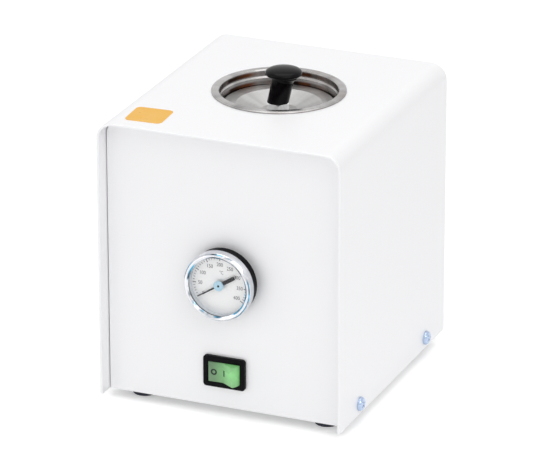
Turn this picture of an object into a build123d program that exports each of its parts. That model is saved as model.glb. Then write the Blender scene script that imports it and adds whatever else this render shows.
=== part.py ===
"""Glass bead sterilizer, in millimetres.

The origin lies on the bench, under the middle of the cover. +Z is up and the front looks along -Y.
"""

from build123d import *
from math import cos, pi, radians, sin, tan
import os

# Clearances
SEAT_GAP = 0.3          # loose piece to its seat, and moving piece to its neighbour
RUNNING_GAP = 0.05      # pin or shaft in its bore, on the radius
PANEL_GAP = 0.3         # folded panel to the inside of the cover
HOLE_GAP = 0.2          # screw shank in a clearance hole, on the radius

# The one size of small nut, on the panel studs, the foot screws and the inlet screws
SMALL_NUT_AF = 5.5
SMALL_NUT_T = 2.4

# Cover: one sheet folded over the top and both sides
COVER_W = 120.0
COVER_D = 134.0
COVER_H = 135.0
COVER_T = 1.2
COVER_BEND_R = 8.0
COVER_LIFT = 4.5        # lower edge above the bench
COVER_EDGE_R = 0.35

# Feet
FOOT_H = 4.6
FOOT_R = 6.5
FOOT_TAPER = 0.7        # smaller radius at the bench
FOOT_INSET_X = 12.5     # middle of a foot from the tray's side
FOOT_INSET_Y = 10.8     # and from the tray's front or rear
FOOT_RECESS_R = 3.9
FOOT_RECESS_H = 2.8

# Base tray
TRAY_T = 1.2
TRAY_FLANGE_H = 16.0
TRAY_BEND_R = 1.6
TRAY_NOTCH = 4.0
TRAY_SLOT_L = 26.0
TRAY_SLOT_W = 3.0
TRAY_SLOT_PITCH = 8.0
TRAY_SLOT_COUNT = 4
TRAY_SLOT_X = 33.0
TRAY_SLOT_Y = -2.0

# Front and rear panels
PANEL_T = 1.2
FRONT_RECESS = 8.0      # front face of the panel behind the front edge of the cover
REAR_RECESS = 8.0
PANEL_RETURN_D = 8.0    # depth of the folded side returns
PANEL_RETURN_Z0 = 26.0
PANEL_RETURN_TOP = 14.0  # end of the returns below the top of the panel
PANEL_EDGE_R = 0.5
PANEL_STUD_R = 1.5
PANEL_STUD_L = 7.0
PANEL_STUD_X = 38.0
PANEL_STUD_Z = 14.0
VENT_L = 24.0
VENT_W = 3.0
VENT_PITCH = 7.0
VENT_COUNT = 5
VENT_X = 18.0
VENT_DROP = 39.5        # middle of the vents below the top of the cover

# Cover screws and the press nuts they go into
SCREW_R = 2.0
SCREW_L = 9.0
SCREW_HEAD_R = 3.4
SCREW_HEAD_H = 2.2
SCREW_HEAD_EDGE_R = 0.7
SCREW_SLOT_W = 0.9
SCREW_SLOT_D = 1.0
SCREW_INSET = 25.0      # from the front and rear edges of the cover
SCREW_Z = 5.2           # above the lower edge of the cover
SIDE_NUT_R = 3.4
SIDE_NUT_T = 4.0

# Foot screws
FOOT_SCREW_R = 1.5
FOOT_SCREW_L = 8.0
FOOT_SCREW_HEAD_R = 2.9
FOOT_SCREW_HEAD_H = 1.7

# Well: the spun dish let into the top
WELL_X = 1.0
WELL_Y = 3.0
WELL_FLANGE_R = 31.5
WELL_MOUTH_R = 27.6
WELL_LEDGE_R = 26.9
WELL_LEDGE_DEPTH = 2.4
WELL_FLOOR_DEPTH = 7.4
WELL_FLOOR_HOLE_R = 21.5
WELL_T = 0.8
WELL_FLANGE_T = 0.9
WELL_FLANGE_EDGE = 0.54  # slope round the outside of the flange
WELL_MOUTH_EDGE = 0.45  # slope round the mouth
WELL_HOLE_GAP = 0.5
DISH_SCREW_R = 1.2
DISH_SCREW_L = 6.0
DISH_SCREW_HEAD_R = 2.1
DISH_SCREW_CIRCLE_R = 24.3
DISH_SCREW_COUNT = 3
DISH_SCREW_TURN = 30.0

# Bead cup
CUP_R = 17.5            # inside
CUP_T = 1.0
CUP_FLANGE_R = 26.8
CUP_CORNER_R = 3.0
BEAD_HEADROOM = 9.3     # top of the beads below the mouth of the cup

# Lid
LID_R = 26.2
LID_T = 1.0
LID_CONE_R = 20.0       # where the dished middle starts
LID_FLAT_R = 9.0        # flat middle
LID_DISH = 3.6
LID_EDGE_R = 0.3
STUD_R = 2.9
STUD_HEAD_R = 6.0
STUD_HEAD_T = 1.4
STUD_IN_KNOB = 9.0
KNOB_LEAN = 12.2        # degrees from upright
KNOB_LEAN_AZ = 23.0     # degrees from +X towards +Y
KNOB_X = -0.3           # stud from the axis of the well
KNOB_Y = -0.44
NUT_AF = 10.0
NUT_H = 4.5
NUT_TURN = -6.4
NUT_CHAMFER = 0.8
STEM_R = 5.0
STEM_L = 12.5
CAP_R = 8.6
CAP_EDGE_H = 0.9
CAP_DOME_H = 2.4
CAP_UNDER_H = 1.3
LID_LIFT = 25.0

# Heater
BLOCK_R = 27.0
BLOCK_FLOOR = 16.0
BLOCK_FIT = 0.1
UNDER_SHIELD = 4.8      # foot of the can above the inlet's body
BAND_T = 3.0
BAND_Z = 24.0           # lower edge above the foot of the block
BAND_DROP = 10.0        # upper edge below the top of the block
BAND_FIT = 0.1
BAND_SPLIT = 4.0
EAR_OUT = 6.0
EAR_T = 1.2
EAR_H = 12.0
EAR_SCREW_R = 1.5
EAR_SCREW_HEAD_R = 2.7
EAR_SCREW_HEAD_H = 1.5
EAR_SCREW_PROUD = 1.6   # end of the screw beyond its nut
LUG_W = 4.0
LUG_H = 6.0
LUG_OUT = 2.8
SLEEVE_R0 = 33.0
SLEEVE_R1 = 41.5
SLEEVE_NOTCH_WALL = 2.0
SLEEVE_NOTCH_W = 20.0
SLEEVE_NOTCH_H = 26.0
INSULATION_DISC_H = 9.2
SHIELD_T = 0.8
SHIELD_FIT = 0.3
SHIELD_TOP_DROP = 1.0   # shield cover below the floor of the dish
COLLAR_GAP = 0.5
STANDOFF_AF = 7.0
STANDOFF_OFFSET = 26.5
STANDOFF_SCREW_R = 2.0
STANDOFF_SCREW_L = 7.0
STANDOFF_HEAD_R = 3.5
STANDOFF_HEAD_H = 2.0

# Dial thermometer
GAUGE_X = 0.0
GAUGE_Z = 63.4          # axis above the lower edge of the cover
GAUGE_STANDOFF = 9.9    # front of the bezel before the panel
BEZEL_OVER_CASE = 0.7   # bezel beyond the case, on the radius
BEZEL_FACE_W = 2.5
BEZEL_CHAMFER_W = 0.5
BEZEL_CHAMFER_D = 0.4
BEZEL_D = 4.9
BEZEL_NOSE_R = 1.3
BEZEL_WALL = 0.9
BEZEL_LIP = 0.9
CASE_R = 16.1
CASE_LEDGE = 1.0        # ledge under the glass, on the radius
GLASS_T = 0.8
DIAL_T = 0.5
DIAL_GAP = 2.7          # dial face to glass
POINTER_T = 0.3
POINTER_SHORT = 1.55    # tip short of the dial's edge
POINTER_BOSS_R = 1.9
POINTER_W = 0.9
POINTER_TIP_W = 0.45
TAIL_L = 9.1
TAIL_W = 1.8
HUB_R = 2.4
HUB_T = 0.7
SPINDLE_R = 0.55
POINTER_ANGLE = 212.5   # degrees from +X at rest
NECK_R = 5.0
NECK_PROUD = 0.8        # end of the neck beyond its nut
NECK_NUT_AF = 14.0
NECK_NUT_T = 3.0
THERMO_STEM_R = 2.0
THERMO_STEM_WALL = 0.5
THERMO_STEM_REACH = 24.0  # into the block
BIMETAL_L = 18.0
BIMETAL_T = 0.3

# Rocker switch
SWITCH_X = 0.0
SWITCH_Z = 17.9         # middle above the lower edge of the cover
SWITCH_W = 20.9
SWITCH_H = 15.3
SWITCH_LIP = 2.0        # bezel before the panel
SWITCH_LIP_EDGE_R = 0.7
SWITCH_CORNER_R = 1.6
SWITCH_BODY_W = 19.2
SWITCH_BODY_H = 12.9
SWITCH_BODY_D = 15.0
SWITCH_WALL = 0.8
SWITCH_CAVITY_D = 11.5
ROCKER_W = 15.6
ROCKER_H = 9.7
ROCKER_EDGE_R = 0.5
ROCKER_WALL = 1.2
ROCKER_BOSS = 1.4       # wall behind the pivot
ROCKER_TILT = 15.0      # degrees each way from the middle
ROCKER_NOSE = 26.0      # degrees of the raised end above the pivot, before tilting
ROCKER_MIDDLE = 1.2     # front of the middle before the pivot
ROCKER_HEEL = 40.0      # degrees of the end behind the pivot
ROCKER_PIVOT = 0.6      # pivot before the panel
PIVOT_R = 1.0
LAMP_R = 1.4
LAMP_L = 7.0
LAMP_SEAT = 0.1
BLADE_W = 4.8
BLADE_T = 0.8
BLADE_L = 8.0
BLADE_ROOT = 1.2
SWITCH_BLADE_X = 5.0
SWITCH_BLADE_Z = 3.0

# Mains inlet with a fuse drawer
INLET_X = 0.0
INLET_Z = 31.0          # middle of the body above the bench
INLET_FLANGE_W = 50.0
INLET_FLANGE_H = 33.0
INLET_FLANGE_T = 3.0
INLET_BODY_W = 27.0
INLET_BODY_H = 29.0
INLET_BODY_D = 24.0
INLET_CORNER_R = 6.0
INLET_EDGE_R = 0.9
SOCKET_W = 24.0
SOCKET_H = 16.0
SOCKET_D = 17.0
SOCKET_CORNER = 4.0
SOCKET_DROP = 4.6       # middle of the socket below the middle of the body
PIN_W = 2.0
PIN_H = 4.0
PIN_L = 11.5
PIN_X = 7.0
PIN_OFFSET_Z = 2.0
PIN_BACK = 8.0
INLET_SCREW_X = 20.0
INLET_SCREW_R = 1.5
INLET_SCREW_L = 9.0
INLET_SCREW_HEAD_R = 2.8
INLET_SCREW_HEAD_H = 1.7
INLET_SCREW_EDGE_R = 0.5
INLET_SCREW_SLOT_W = 0.7
INLET_SCREW_SLOT_D = 0.8
DRAWER_W = 20.0
DRAWER_H = 7.0
DRAWER_D = 23.0
DRAWER_RISE = 9.0       # middle of the drawer above the middle of the body
DRAWER_FACE_W = 22.0
DRAWER_FACE_H = 8.6
DRAWER_FACE_T = 1.8
DRAWER_WALL = 0.9
DRAWER_FACE_CORNER_R = 1.0
DRAWER_FACE_EDGE_R = 0.5
DRAWER_TRAVEL = 26.0
GRIP_W = 8.0
GRIP_H = 1.5
GRIP_D = 1.0
FUSE_R = 2.5
FUSE_L = 20.0
FUSE_CAP_L = 5.0
FUSE_X = 4.8
FUSE_DROP = 0.6         # below the middle of the drawer
FUSE_FIT = 0.1
FUSE_END_GAP = 0.2
FUSE_CAP_STEP = 0.2     # caps beyond the glass, on the radius

# Thermostat, thermal fuse and earth
THERMOSTAT_W = 24.0
THERMOSTAT_D = 30.0
THERMOSTAT_H = 20.0
THERMOSTAT_GAP = 1.8    # to the tray's side
THERMOSTAT_Y = -4.0
THERMOSTAT_FOOT = 5.0
THERMOSTAT_FOOT_T = 1.2
THERMOSTAT_FOOT_GAP = 4.0
THERMOSTAT_CORNER_R = 1.5
THERMOSTAT_TUBE_Z = 12.0  # capillary above the foot of the housing
BULB_R = 1.6
BULB_L = 26.0
BULB_OFFSET_X = -12.0
BULB_COVER = 2.0        # floor of the block left above the bulb's bore
CAPILLARY_R = 0.6
LINK_R = 2.0
LINK_L = 12.0
LINK_OUT = 6.0          # beyond the lead, towards the side
LINK_BACK = 14.0        # rear end before the middle of the well
LINK_DROP = 20.0        # below the can
EARTH_X = 0.0
EARTH_Y = -2.0
EARTH_R = 2.0
EARTH_L = 9.0
EARTH_HEAD_R = 3.2
EARTH_HEAD_H = 1.6
EARTH_NUT_AF = 7.0
EARTH_NUT_T = 3.0
EARTH_TAG_R = 5.0
EARTH_TAG_T = 0.8
CRIMP_L = 4.0
CRIMP_W = 3.3
WIRE_R = 1.1
BUSH_R = 2.6
BUSH_T = 3.0
BUSH_FLANGE_W = 1.0

# Plain label on the top
LABEL_SIZE = 18.0
LABEL_T = 0.15
LABEL_CORNER_R = 2.5
LABEL_INSET_X = 19.0    # middle of the label from the left side
LABEL_INSET_Y = 17.0    # and from the front edge
LABEL_TURN = 3.0

# Places that follow from the sizes
COVER_TOP = COVER_LIFT + COVER_H
SIDE_IN = COVER_W / 2 - COVER_T
PANEL_HALF_W = SIDE_IN - PANEL_GAP
PANEL_TOP = COVER_TOP - COVER_T - PANEL_GAP
PANEL_CORNER_R = COVER_BEND_R - COVER_T - PANEL_GAP
FRONT_Y = -COVER_D / 2 + FRONT_RECESS
REAR_Y = COVER_D / 2 - REAR_RECESS
TRAY_Y0 = FRONT_Y + PANEL_T
TRAY_Y1 = REAR_Y - PANEL_T
TRAY_Z = FOOT_H
TRAY_TOP = TRAY_Z + TRAY_T
FOOT_X = PANEL_HALF_W - FOOT_INSET_X
FOOT_Y = TRAY_Y1 - FOOT_INSET_Y
SCREW_Y = COVER_D / 2 - SCREW_INSET
VENT_Z = COVER_TOP - VENT_DROP
LABEL_X = LABEL_INSET_X - COVER_W / 2
LABEL_Y = LABEL_INSET_Y - COVER_D / 2
COVER_SCREW_Z = COVER_LIFT + SCREW_Z
FLOOR_TOP = COVER_TOP - WELL_FLOOR_DEPTH
CUP_MOUTH = FLOOR_TOP - WELL_T
SHIELD_FOOT = INLET_Z + INLET_BODY_H / 2 + UNDER_SHIELD
BLOCK_FOOT = SHIELD_FOOT + SHIELD_T + INSULATION_DISC_H
BLOCK_TOP = CUP_MOUTH - CUP_T
CUP_FOOT = BLOCK_FOOT + BLOCK_FLOOR
BULB_TOP = CUP_FOOT - BULB_COVER - SEAT_GAP
BAND_Z0 = BLOCK_FOOT + BAND_Z
BAND_Z1 = BLOCK_TOP - BAND_DROP
BAND_MID_Z = (BAND_Z0 + BAND_Z1) / 2
BEAD_TOP = CUP_MOUTH - BEAD_HEADROOM
LID_TOP = FLOOR_TOP + SEAT_GAP + LID_T
SHIELD_R1 = SLEEVE_R1 + SHIELD_FIT + SHIELD_T
SHIELD_TOP = CUP_MOUTH - SHIELD_TOP_DROP - SHIELD_T
BEZEL_R = CASE_R + BEZEL_OVER_CASE
BEZEL_OPENING_R = BEZEL_R - BEZEL_FACE_W
DIAL_R = CASE_R - BEZEL_WALL - CASE_LEDGE - RUNNING_GAP
POINTER_L = DIAL_R - POINTER_SHORT
NECK_L = PANEL_T + NECK_NUT_T + NECK_PROUD
GAUGE_AXIS_Z = COVER_LIFT + GAUGE_Z
GAUGE_FRONT_Y = FRONT_Y - GAUGE_STANDOFF
GLASS_Y = GAUGE_FRONT_Y + BEZEL_LIP
DIAL_Y = GLASS_Y + GLASS_T + DIAL_GAP
POINTER_Y = DIAL_Y - DIAL_GAP / 2
BLOCK_FRONT_Y = WELL_Y - BLOCK_R
STEM_TIP_Y = BLOCK_FRONT_Y + THERMO_STEM_REACH
SWITCH_MID_Z = COVER_LIFT + SWITCH_Z
PIVOT_Y = FRONT_Y - ROCKER_PIVOT
SWITCH_BACK_Y = FRONT_Y + SWITCH_BODY_D
INLET_BACK_Y = REAR_Y - INLET_BODY_D
INLET_FRONT_Y = REAR_Y + INLET_FLANGE_T
SOCKET_Z = INLET_Z - SOCKET_DROP
DRAWER_Z = INLET_Z + DRAWER_RISE
FUSE_Z = DRAWER_Z - FUSE_DROP
THERMOSTAT_X = THERMOSTAT_W / 2 + THERMOSTAT_GAP + TRAY_T - PANEL_HALF_W
THERMOSTAT_Z = TRAY_TOP + THERMOSTAT_FOOT_GAP


def block(x0, x1, y0, y1, z0, z1):
    """Box between two corners."""
    return Pos((x0 + x1) / 2, (y0 + y1) / 2, (z0 + z1) / 2) * Box(x1 - x0, y1 - y0, z1 - z0)


def rod_z(r, z0, z1, x=0.0, y=0.0):
    """Upright round bar."""
    return Pos(x, y, (z0 + z1) / 2) * Cylinder(r, z1 - z0)


def rod_y(r, y0, y1, x=0.0, z=0.0):
    """Round bar along Y."""
    return Pos(x, (y0 + y1) / 2, z) * Rot(90, 0, 0) * Cylinder(r, y1 - y0)


def rod_x(r, x0, x1, y=0.0, z=0.0):
    """Round bar along X."""
    return Pos((x0 + x1) / 2, y, z) * Rot(0, 90, 0) * Cylinder(r, x1 - x0)


def turned(points, x=0.0, y=0.0):
    """Solid of revolution about an upright axis, from (radius, z) points."""
    outline = Polyline(*[(r, 0, z) for r, z in points], close=True)
    return Pos(x, y, 0) * revolve(make_face(outline), Axis.Z)


def turned_y(points, x=0.0, z=0.0):
    """Solid of revolution about an axis along Y, from (radius, y) points."""
    outline = Polyline(*[(r, y, 0) for r, y in points], close=True)
    return Pos(x, 0, z) * revolve(make_face(outline), Axis.Y)


def hex_z(across_flats, z0, z1, x=0.0, y=0.0, turn=0.0):
    """Upright hexagonal bar."""
    corner_r = across_flats / 2 / cos(pi / 6)
    return Pos(x, y, z0) * Rot(0, 0, turn) * extrude(RegularPolygon(corner_r, 6), z1 - z0)


def hex_y(across_flats, y0, y1, x=0.0, z=0.0):
    """Hexagonal bar along Y."""
    corner_r = across_flats / 2 / cos(pi / 6)
    return Pos(x, y1, z) * Rot(90, 0, 0) * extrude(RegularPolygon(corner_r, 6), y1 - y0)


def slot_z(length, width, z0, z1, x, y):
    """Upright slot cutter that runs along X."""
    return Pos(x, y, z0) * extrude(SlotOverall(length, width), z1 - z0)


def group(shapes):
    """Separate solids kept together in one node."""
    return Compound(children=list(shapes))


def corners(x, y):
    """Four corners of a rectangle round the origin."""
    return [(-x, -y), (x, -y), (x, y), (-x, y)]


def corner_radii(points):
    """Largest even arc for each corner of a wire's path."""
    radii = []
    for before, here, after in zip(points, points[1:], points[2:]):
        run_in = Vector(*here) - Vector(*before)
        run_out = Vector(*after) - Vector(*here)
        half_turn = radians(run_in.get_angle(run_out)) / 2
        radii.append(0.45 * min(run_in.length, run_out.length) / tan(half_turn))
    return radii


def wire(points, r):
    """Round wire of straight runs joined by tangent arcs."""
    path = FilletPolyline(*points, radius=corner_radii(points))
    section = Plane(origin=path @ 0, z_dir=path % 0) * Circle(r)
    return sweep(section, path=path)


def make_cover():
    """Inverted U of sheet with the hole for the well and four screw holes."""
    outer = Pos(0, COVER_H / 2) * Rectangle(COVER_W, COVER_H)
    outer = fillet(outer.vertices().group_by(Axis.Y)[-1], COVER_BEND_R)
    inner_h = COVER_H - COVER_T
    inner = Pos(0, inner_h / 2) * Rectangle(2 * SIDE_IN, inner_h)
    inner = fillet(inner.vertices().group_by(Axis.Y)[-1], COVER_BEND_R - COVER_T)
    shell = Pos(0, COVER_D / 2, COVER_LIFT) * Rot(90, 0, 0) * extrude(outer - inner, COVER_D)
    ends = shell.faces().sort_by(Axis.Y)
    shell = fillet(ends[0].edges() + ends[-1].edges(), COVER_EDGE_R)
    well_hole_r = WELL_MOUTH_R + WELL_T + WELL_HOLE_GAP
    shell -= rod_z(well_hole_r, COVER_TOP - 3 * COVER_T, COVER_TOP + COVER_T, WELL_X, WELL_Y)
    for y in (-SCREW_Y, SCREW_Y):
        shell -= rod_x(SCREW_R + HOLE_GAP, -COVER_W, COVER_W, y, COVER_SCREW_Z)
    return shell


def make_tray():
    """Tray folded up on four sides, with notched corners, holes and air slots."""
    top = TRAY_Z + TRAY_FLANGE_H
    outer = block(-PANEL_HALF_W, PANEL_HALF_W, TRAY_Y0, TRAY_Y1, TRAY_Z, top)
    outer = fillet(outer.faces().sort_by(Axis.Z)[0].edges(), TRAY_BEND_R)
    inner = block(
        -PANEL_HALF_W + TRAY_T, PANEL_HALF_W - TRAY_T, TRAY_Y0 + TRAY_T, TRAY_Y1 - TRAY_T, TRAY_TOP, top
    )
    inner = fillet(inner.faces().sort_by(Axis.Z)[0].edges(), TRAY_BEND_R - TRAY_T)
    tray = outer - inner
    for x in (-PANEL_HALF_W, PANEL_HALF_W):
        for y in (TRAY_Y0, TRAY_Y1):
            tray -= block(
                x - TRAY_NOTCH, x + TRAY_NOTCH, y - TRAY_NOTCH, y + TRAY_NOTCH, TRAY_Z - TRAY_T, top + TRAY_T
            )
    for y in (-SCREW_Y, SCREW_Y):
        tray -= rod_x(SCREW_R + HOLE_GAP, -COVER_W, COVER_W, y, COVER_SCREW_Z)
    for x in (-PANEL_STUD_X, PANEL_STUD_X):
        tray -= rod_y(PANEL_STUD_R + HOLE_GAP, -COVER_D, COVER_D, x, PANEL_STUD_Z)
    for x, y in corners(FOOT_X, FOOT_Y):
        tray -= rod_z(FOOT_SCREW_R + HOLE_GAP, 0, top, x, y)
    for x, y in standoff_places():
        tray -= rod_z(STANDOFF_SCREW_R + HOLE_GAP, 0, top, x, y)
    tray -= rod_z(EARTH_R + HOLE_GAP, 0, top, EARTH_X, EARTH_Y)
    for side in (-1, 1):
        for row in range(TRAY_SLOT_COUNT):
            y = TRAY_SLOT_Y + TRAY_SLOT_PITCH * (row - (TRAY_SLOT_COUNT - 1) / 2)
            tray -= slot_z(TRAY_SLOT_L, TRAY_SLOT_W, 0, TRAY_TOP + TRAY_T, side * TRAY_SLOT_X, y)
    return tray


def panel_blank(face_y, inward):
    """Panel plate with rounded top corners and side returns folded inward."""
    height = PANEL_TOP - COVER_LIFT
    outline = Pos(0, COVER_LIFT + height / 2) * Rectangle(2 * PANEL_HALF_W, height)
    outline = fillet(outline.vertices().group_by(Axis.Y)[-1], PANEL_CORNER_R)
    plate = Pos(0, max(face_y, face_y + inward * PANEL_T), 0) * Rot(90, 0, 0) * extrude(outline, PANEL_T)
    for side in (-1, 1):
        edge = side * PANEL_HALF_W
        plate += block(
            min(edge, edge - side * PANEL_T),
            max(edge, edge - side * PANEL_T),
            min(face_y, face_y + inward * PANEL_RETURN_D),
            max(face_y, face_y + inward * PANEL_RETURN_D),
            PANEL_RETURN_Z0,
            PANEL_TOP - PANEL_RETURN_TOP,
        )
    face = plate.faces().sort_by(Axis.Y)[0 if inward > 0 else -1]
    plate = fillet(face.edges(), PANEL_EDGE_R)
    for x in (-PANEL_STUD_X, PANEL_STUD_X):
        start = face_y + inward * PANEL_T / 2
        end = face_y + inward * (PANEL_T + PANEL_STUD_L)
        plate += rod_y(PANEL_STUD_R, min(start, end), max(start, end), x, PANEL_STUD_Z)
    return plate


def make_front_panel():
    """Front panel with the openings for the thermometer and the switch."""
    panel = panel_blank(FRONT_Y, 1)
    panel -= rod_y(NECK_R + HOLE_GAP, -COVER_D, TRAY_Y0 + TRAY_T, GAUGE_X, GAUGE_AXIS_Z)
    half_w = SWITCH_BODY_W / 2 + HOLE_GAP
    half_h = SWITCH_BODY_H / 2 + HOLE_GAP
    panel -= block(
        SWITCH_X - half_w,
        SWITCH_X + half_w,
        FRONT_Y - PANEL_T,
        TRAY_Y0 + TRAY_T,
        SWITCH_MID_Z - half_h,
        SWITCH_MID_Z + half_h,
    )
    return panel


def make_rear_panel():
    """Rear panel with the inlet's cut-out, its screw holes and air slots."""
    panel = panel_blank(REAR_Y, -1)
    half_w = INLET_BODY_W / 2 + HOLE_GAP
    half_h = INLET_BODY_H / 2 + HOLE_GAP
    panel -= block(
        INLET_X - half_w, INLET_X + half_w, TRAY_Y1 - PANEL_T, COVER_D, INLET_Z - half_h, INLET_Z + half_h
    )
    for x in inlet_screw_places():
        panel -= rod_y(INLET_SCREW_R + HOLE_GAP, TRAY_Y1 - PANEL_T, COVER_D, x, INLET_Z)
    for side in (-1, 1):
        for row in range(VENT_COUNT):
            z = VENT_Z + VENT_PITCH * (row - (VENT_COUNT - 1) / 2)
            slot = Rot(90, 0, 0) * extrude(SlotOverall(VENT_L, VENT_W), 4 * PANEL_T)
            panel -= Pos(side * VENT_X, REAR_Y + 2 * PANEL_T, z) * slot
    return panel


def tray_for_switch_and_inlet(tray):
    """Relief in the tray's front and rear flanges for the switch and the inlet."""
    half_w = SWITCH_BODY_W / 2 + PANEL_GAP
    low = SWITCH_MID_Z - SWITCH_BODY_H / 2 - PANEL_GAP
    high = TRAY_Z + TRAY_FLANGE_H + TRAY_T
    tray -= block(SWITCH_X - half_w, SWITCH_X + half_w, -COVER_D, TRAY_Y0 + 2 * TRAY_T, low, high)
    half_w = INLET_BODY_W / 2 + PANEL_GAP
    low = INLET_Z - INLET_BODY_H / 2 - PANEL_GAP
    tray -= block(INLET_X - half_w, INLET_X + half_w, TRAY_Y1 - 2 * TRAY_T, COVER_D, low, high)
    return tray


def pan_screw(r, length, head_r, head_h, edge_r, slot_w, slot_d):
    """Pan-head screw along Z, head upwards, with the underside of the head at z=0."""
    head = rod_z(head_r, 0, head_h)
    head = fillet(head.edges().group_by(Axis.Z)[-1], edge_r)
    screw = head + rod_z(r, -length, 0)
    for turn in (0, 90):
        cutter = block(-head_r * 0.6, head_r * 0.6, -slot_w / 2, slot_w / 2, head_h - slot_d, head_h)
        screw -= Rot(0, 0, turn) * cutter
    return screw


def cover_screw():
    """One of the screws that hold the cover."""
    return pan_screw(
        SCREW_R, SCREW_L, SCREW_HEAD_R, SCREW_HEAD_H, SCREW_HEAD_EDGE_R, SCREW_SLOT_W, SCREW_SLOT_D
    )


def make_cover_screws():
    """Four cover screws, two in each side."""
    screws = []
    for side in (-1, 1):
        for y in (-SCREW_Y, SCREW_Y):
            place = Pos(side * COVER_W / 2, y, COVER_SCREW_Z) * Rot(0, side * 90, 0)
            screws.append(place * cover_screw())
    return group(screws)


def make_side_nuts():
    """Press nuts inside the tray's side flanges."""
    nuts = []
    inner = PANEL_HALF_W - TRAY_T
    for side in (-1, 1):
        for y in (-SCREW_Y, SCREW_Y):
            x0, x1 = sorted((side * inner, side * (inner - SIDE_NUT_T)))
            nut = rod_x(SIDE_NUT_R, x0, x1, y, COVER_SCREW_Z)
            nuts.append(nut - rod_x(SCREW_R + RUNNING_GAP, x0, x1, y, COVER_SCREW_Z))
    return group(nuts)


def small_nut_y(screw_r, y0, x, z):
    """Small nut on a screw along Y."""
    y1 = y0 + SMALL_NUT_T
    return hex_y(SMALL_NUT_AF, y0, y1, x, z) - rod_y(screw_r + RUNNING_GAP, y0, y1, x, z)


def small_nut_z(screw_r, z0, x, y):
    """Small nut on an upright screw."""
    z1 = z0 + SMALL_NUT_T
    return hex_z(SMALL_NUT_AF, z0, z1, x, y) - rod_z(screw_r + RUNNING_GAP, z0, z1, x, y)


def make_small_nuts():
    """Nuts on the studs of both panels, on the foot screws and on the inlet screws."""
    nuts = []
    for x in (-PANEL_STUD_X, PANEL_STUD_X):
        nuts.append(small_nut_y(PANEL_STUD_R, TRAY_Y0 + TRAY_T, x, PANEL_STUD_Z))
        nuts.append(small_nut_y(PANEL_STUD_R, TRAY_Y1 - TRAY_T - SMALL_NUT_T, x, PANEL_STUD_Z))
    for x, y in corners(FOOT_X, FOOT_Y):
        nuts.append(small_nut_z(FOOT_SCREW_R, TRAY_TOP, x, y))
    for x in inlet_screw_places():
        nuts.append(small_nut_y(INLET_SCREW_R, REAR_Y - PANEL_T - SMALL_NUT_T, x, INLET_Z))
    return group(nuts)


def make_feet():
    """Four tapered rubber feet, each hollow underneath for its screw."""
    feet = []
    for x, y in corners(FOOT_X, FOOT_Y):
        profile = [
            (FOOT_SCREW_R + RUNNING_GAP, FOOT_H),
            (FOOT_R, FOOT_H),
            (FOOT_R - FOOT_TAPER, 0),
            (FOOT_RECESS_R, 0),
            (FOOT_RECESS_R, FOOT_RECESS_H),
            (FOOT_SCREW_R + RUNNING_GAP, FOOT_RECESS_H),
        ]
        feet.append(turned(profile, x, y))
    return group(feet)


def make_foot_screws():
    """Screws up through the feet."""
    screws = []
    for x, y in corners(FOOT_X, FOOT_Y):
        head = rod_z(FOOT_SCREW_HEAD_R, FOOT_RECESS_H - FOOT_SCREW_HEAD_H, FOOT_RECESS_H, x, y)
        shank = rod_z(FOOT_SCREW_R, FOOT_RECESS_H, FOOT_RECESS_H + FOOT_SCREW_L, x, y)
        slot = block(
            x - FOOT_SCREW_HEAD_R,
            x + FOOT_SCREW_HEAD_R,
            y - SCREW_SLOT_W / 2,
            y + SCREW_SLOT_W / 2,
            FOOT_RECESS_H - FOOT_SCREW_HEAD_H,
            FOOT_RECESS_H - FOOT_SCREW_HEAD_H / 2,
        )
        screws.append(head + shank - slot)
    return group(screws)


def make_blank_label():
    """Thin plain label on the top."""
    outline = RectangleRounded(LABEL_SIZE, LABEL_SIZE, LABEL_CORNER_R)
    return Pos(LABEL_X, LABEL_Y, COVER_TOP) * Rot(0, 0, LABEL_TURN) * extrude(outline, LABEL_T)


def dish_screw_places():
    """Places of the screws in the floor of the dish."""
    for i in range(DISH_SCREW_COUNT):
        a = radians(DISH_SCREW_TURN + 360 * i / DISH_SCREW_COUNT)
        yield WELL_X + DISH_SCREW_CIRCLE_R * cos(a), WELL_Y + DISH_SCREW_CIRCLE_R * sin(a)


def make_well_dish():
    """Spun dish: flange on the cover, stepped wall and floor round the mouth of the cup."""
    lip_top = COVER_TOP + WELL_FLANGE_T
    ledge = COVER_TOP - WELL_LEDGE_DEPTH
    profile = [
        (WELL_FLANGE_R, COVER_TOP),
        (WELL_FLANGE_R, lip_top - WELL_FLANGE_EDGE),
        (WELL_FLANGE_R - WELL_FLANGE_EDGE, lip_top),
        (WELL_MOUTH_R + WELL_MOUTH_EDGE, lip_top),
        (WELL_MOUTH_R, lip_top - WELL_MOUTH_EDGE),
        (WELL_MOUTH_R, ledge),
        (WELL_LEDGE_R, ledge - (WELL_MOUTH_R - WELL_LEDGE_R)),
        (WELL_LEDGE_R, FLOOR_TOP),
        (WELL_FLOOR_HOLE_R, FLOOR_TOP),
        (WELL_FLOOR_HOLE_R, CUP_MOUTH),
        (WELL_LEDGE_R + WELL_T, CUP_MOUTH),
        (WELL_LEDGE_R + WELL_T, ledge - WELL_T),
        (WELL_MOUTH_R + WELL_T, ledge - WELL_T / 2),
        (WELL_MOUTH_R + WELL_T, COVER_TOP),
    ]
    dish = turned(profile, WELL_X, WELL_Y)
    for x, y in dish_screw_places():
        dish -= countersunk(RUNNING_GAP, WELL_T, x, y)
    return dish


def countersunk(grow, depth, x, y):
    """Countersunk head and shank, flush with the floor of the dish."""
    head_r = DISH_SCREW_HEAD_R + grow
    shank_r = DISH_SCREW_R + grow
    foot = FLOOR_TOP - depth
    neck = FLOOR_TOP - WELL_T
    profile = [(0, FLOOR_TOP), (head_r, FLOOR_TOP), (shank_r, neck)]
    if depth > WELL_T:
        profile.append((shank_r, foot))
    return turned(profile + [(0, foot)], x, y)


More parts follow.
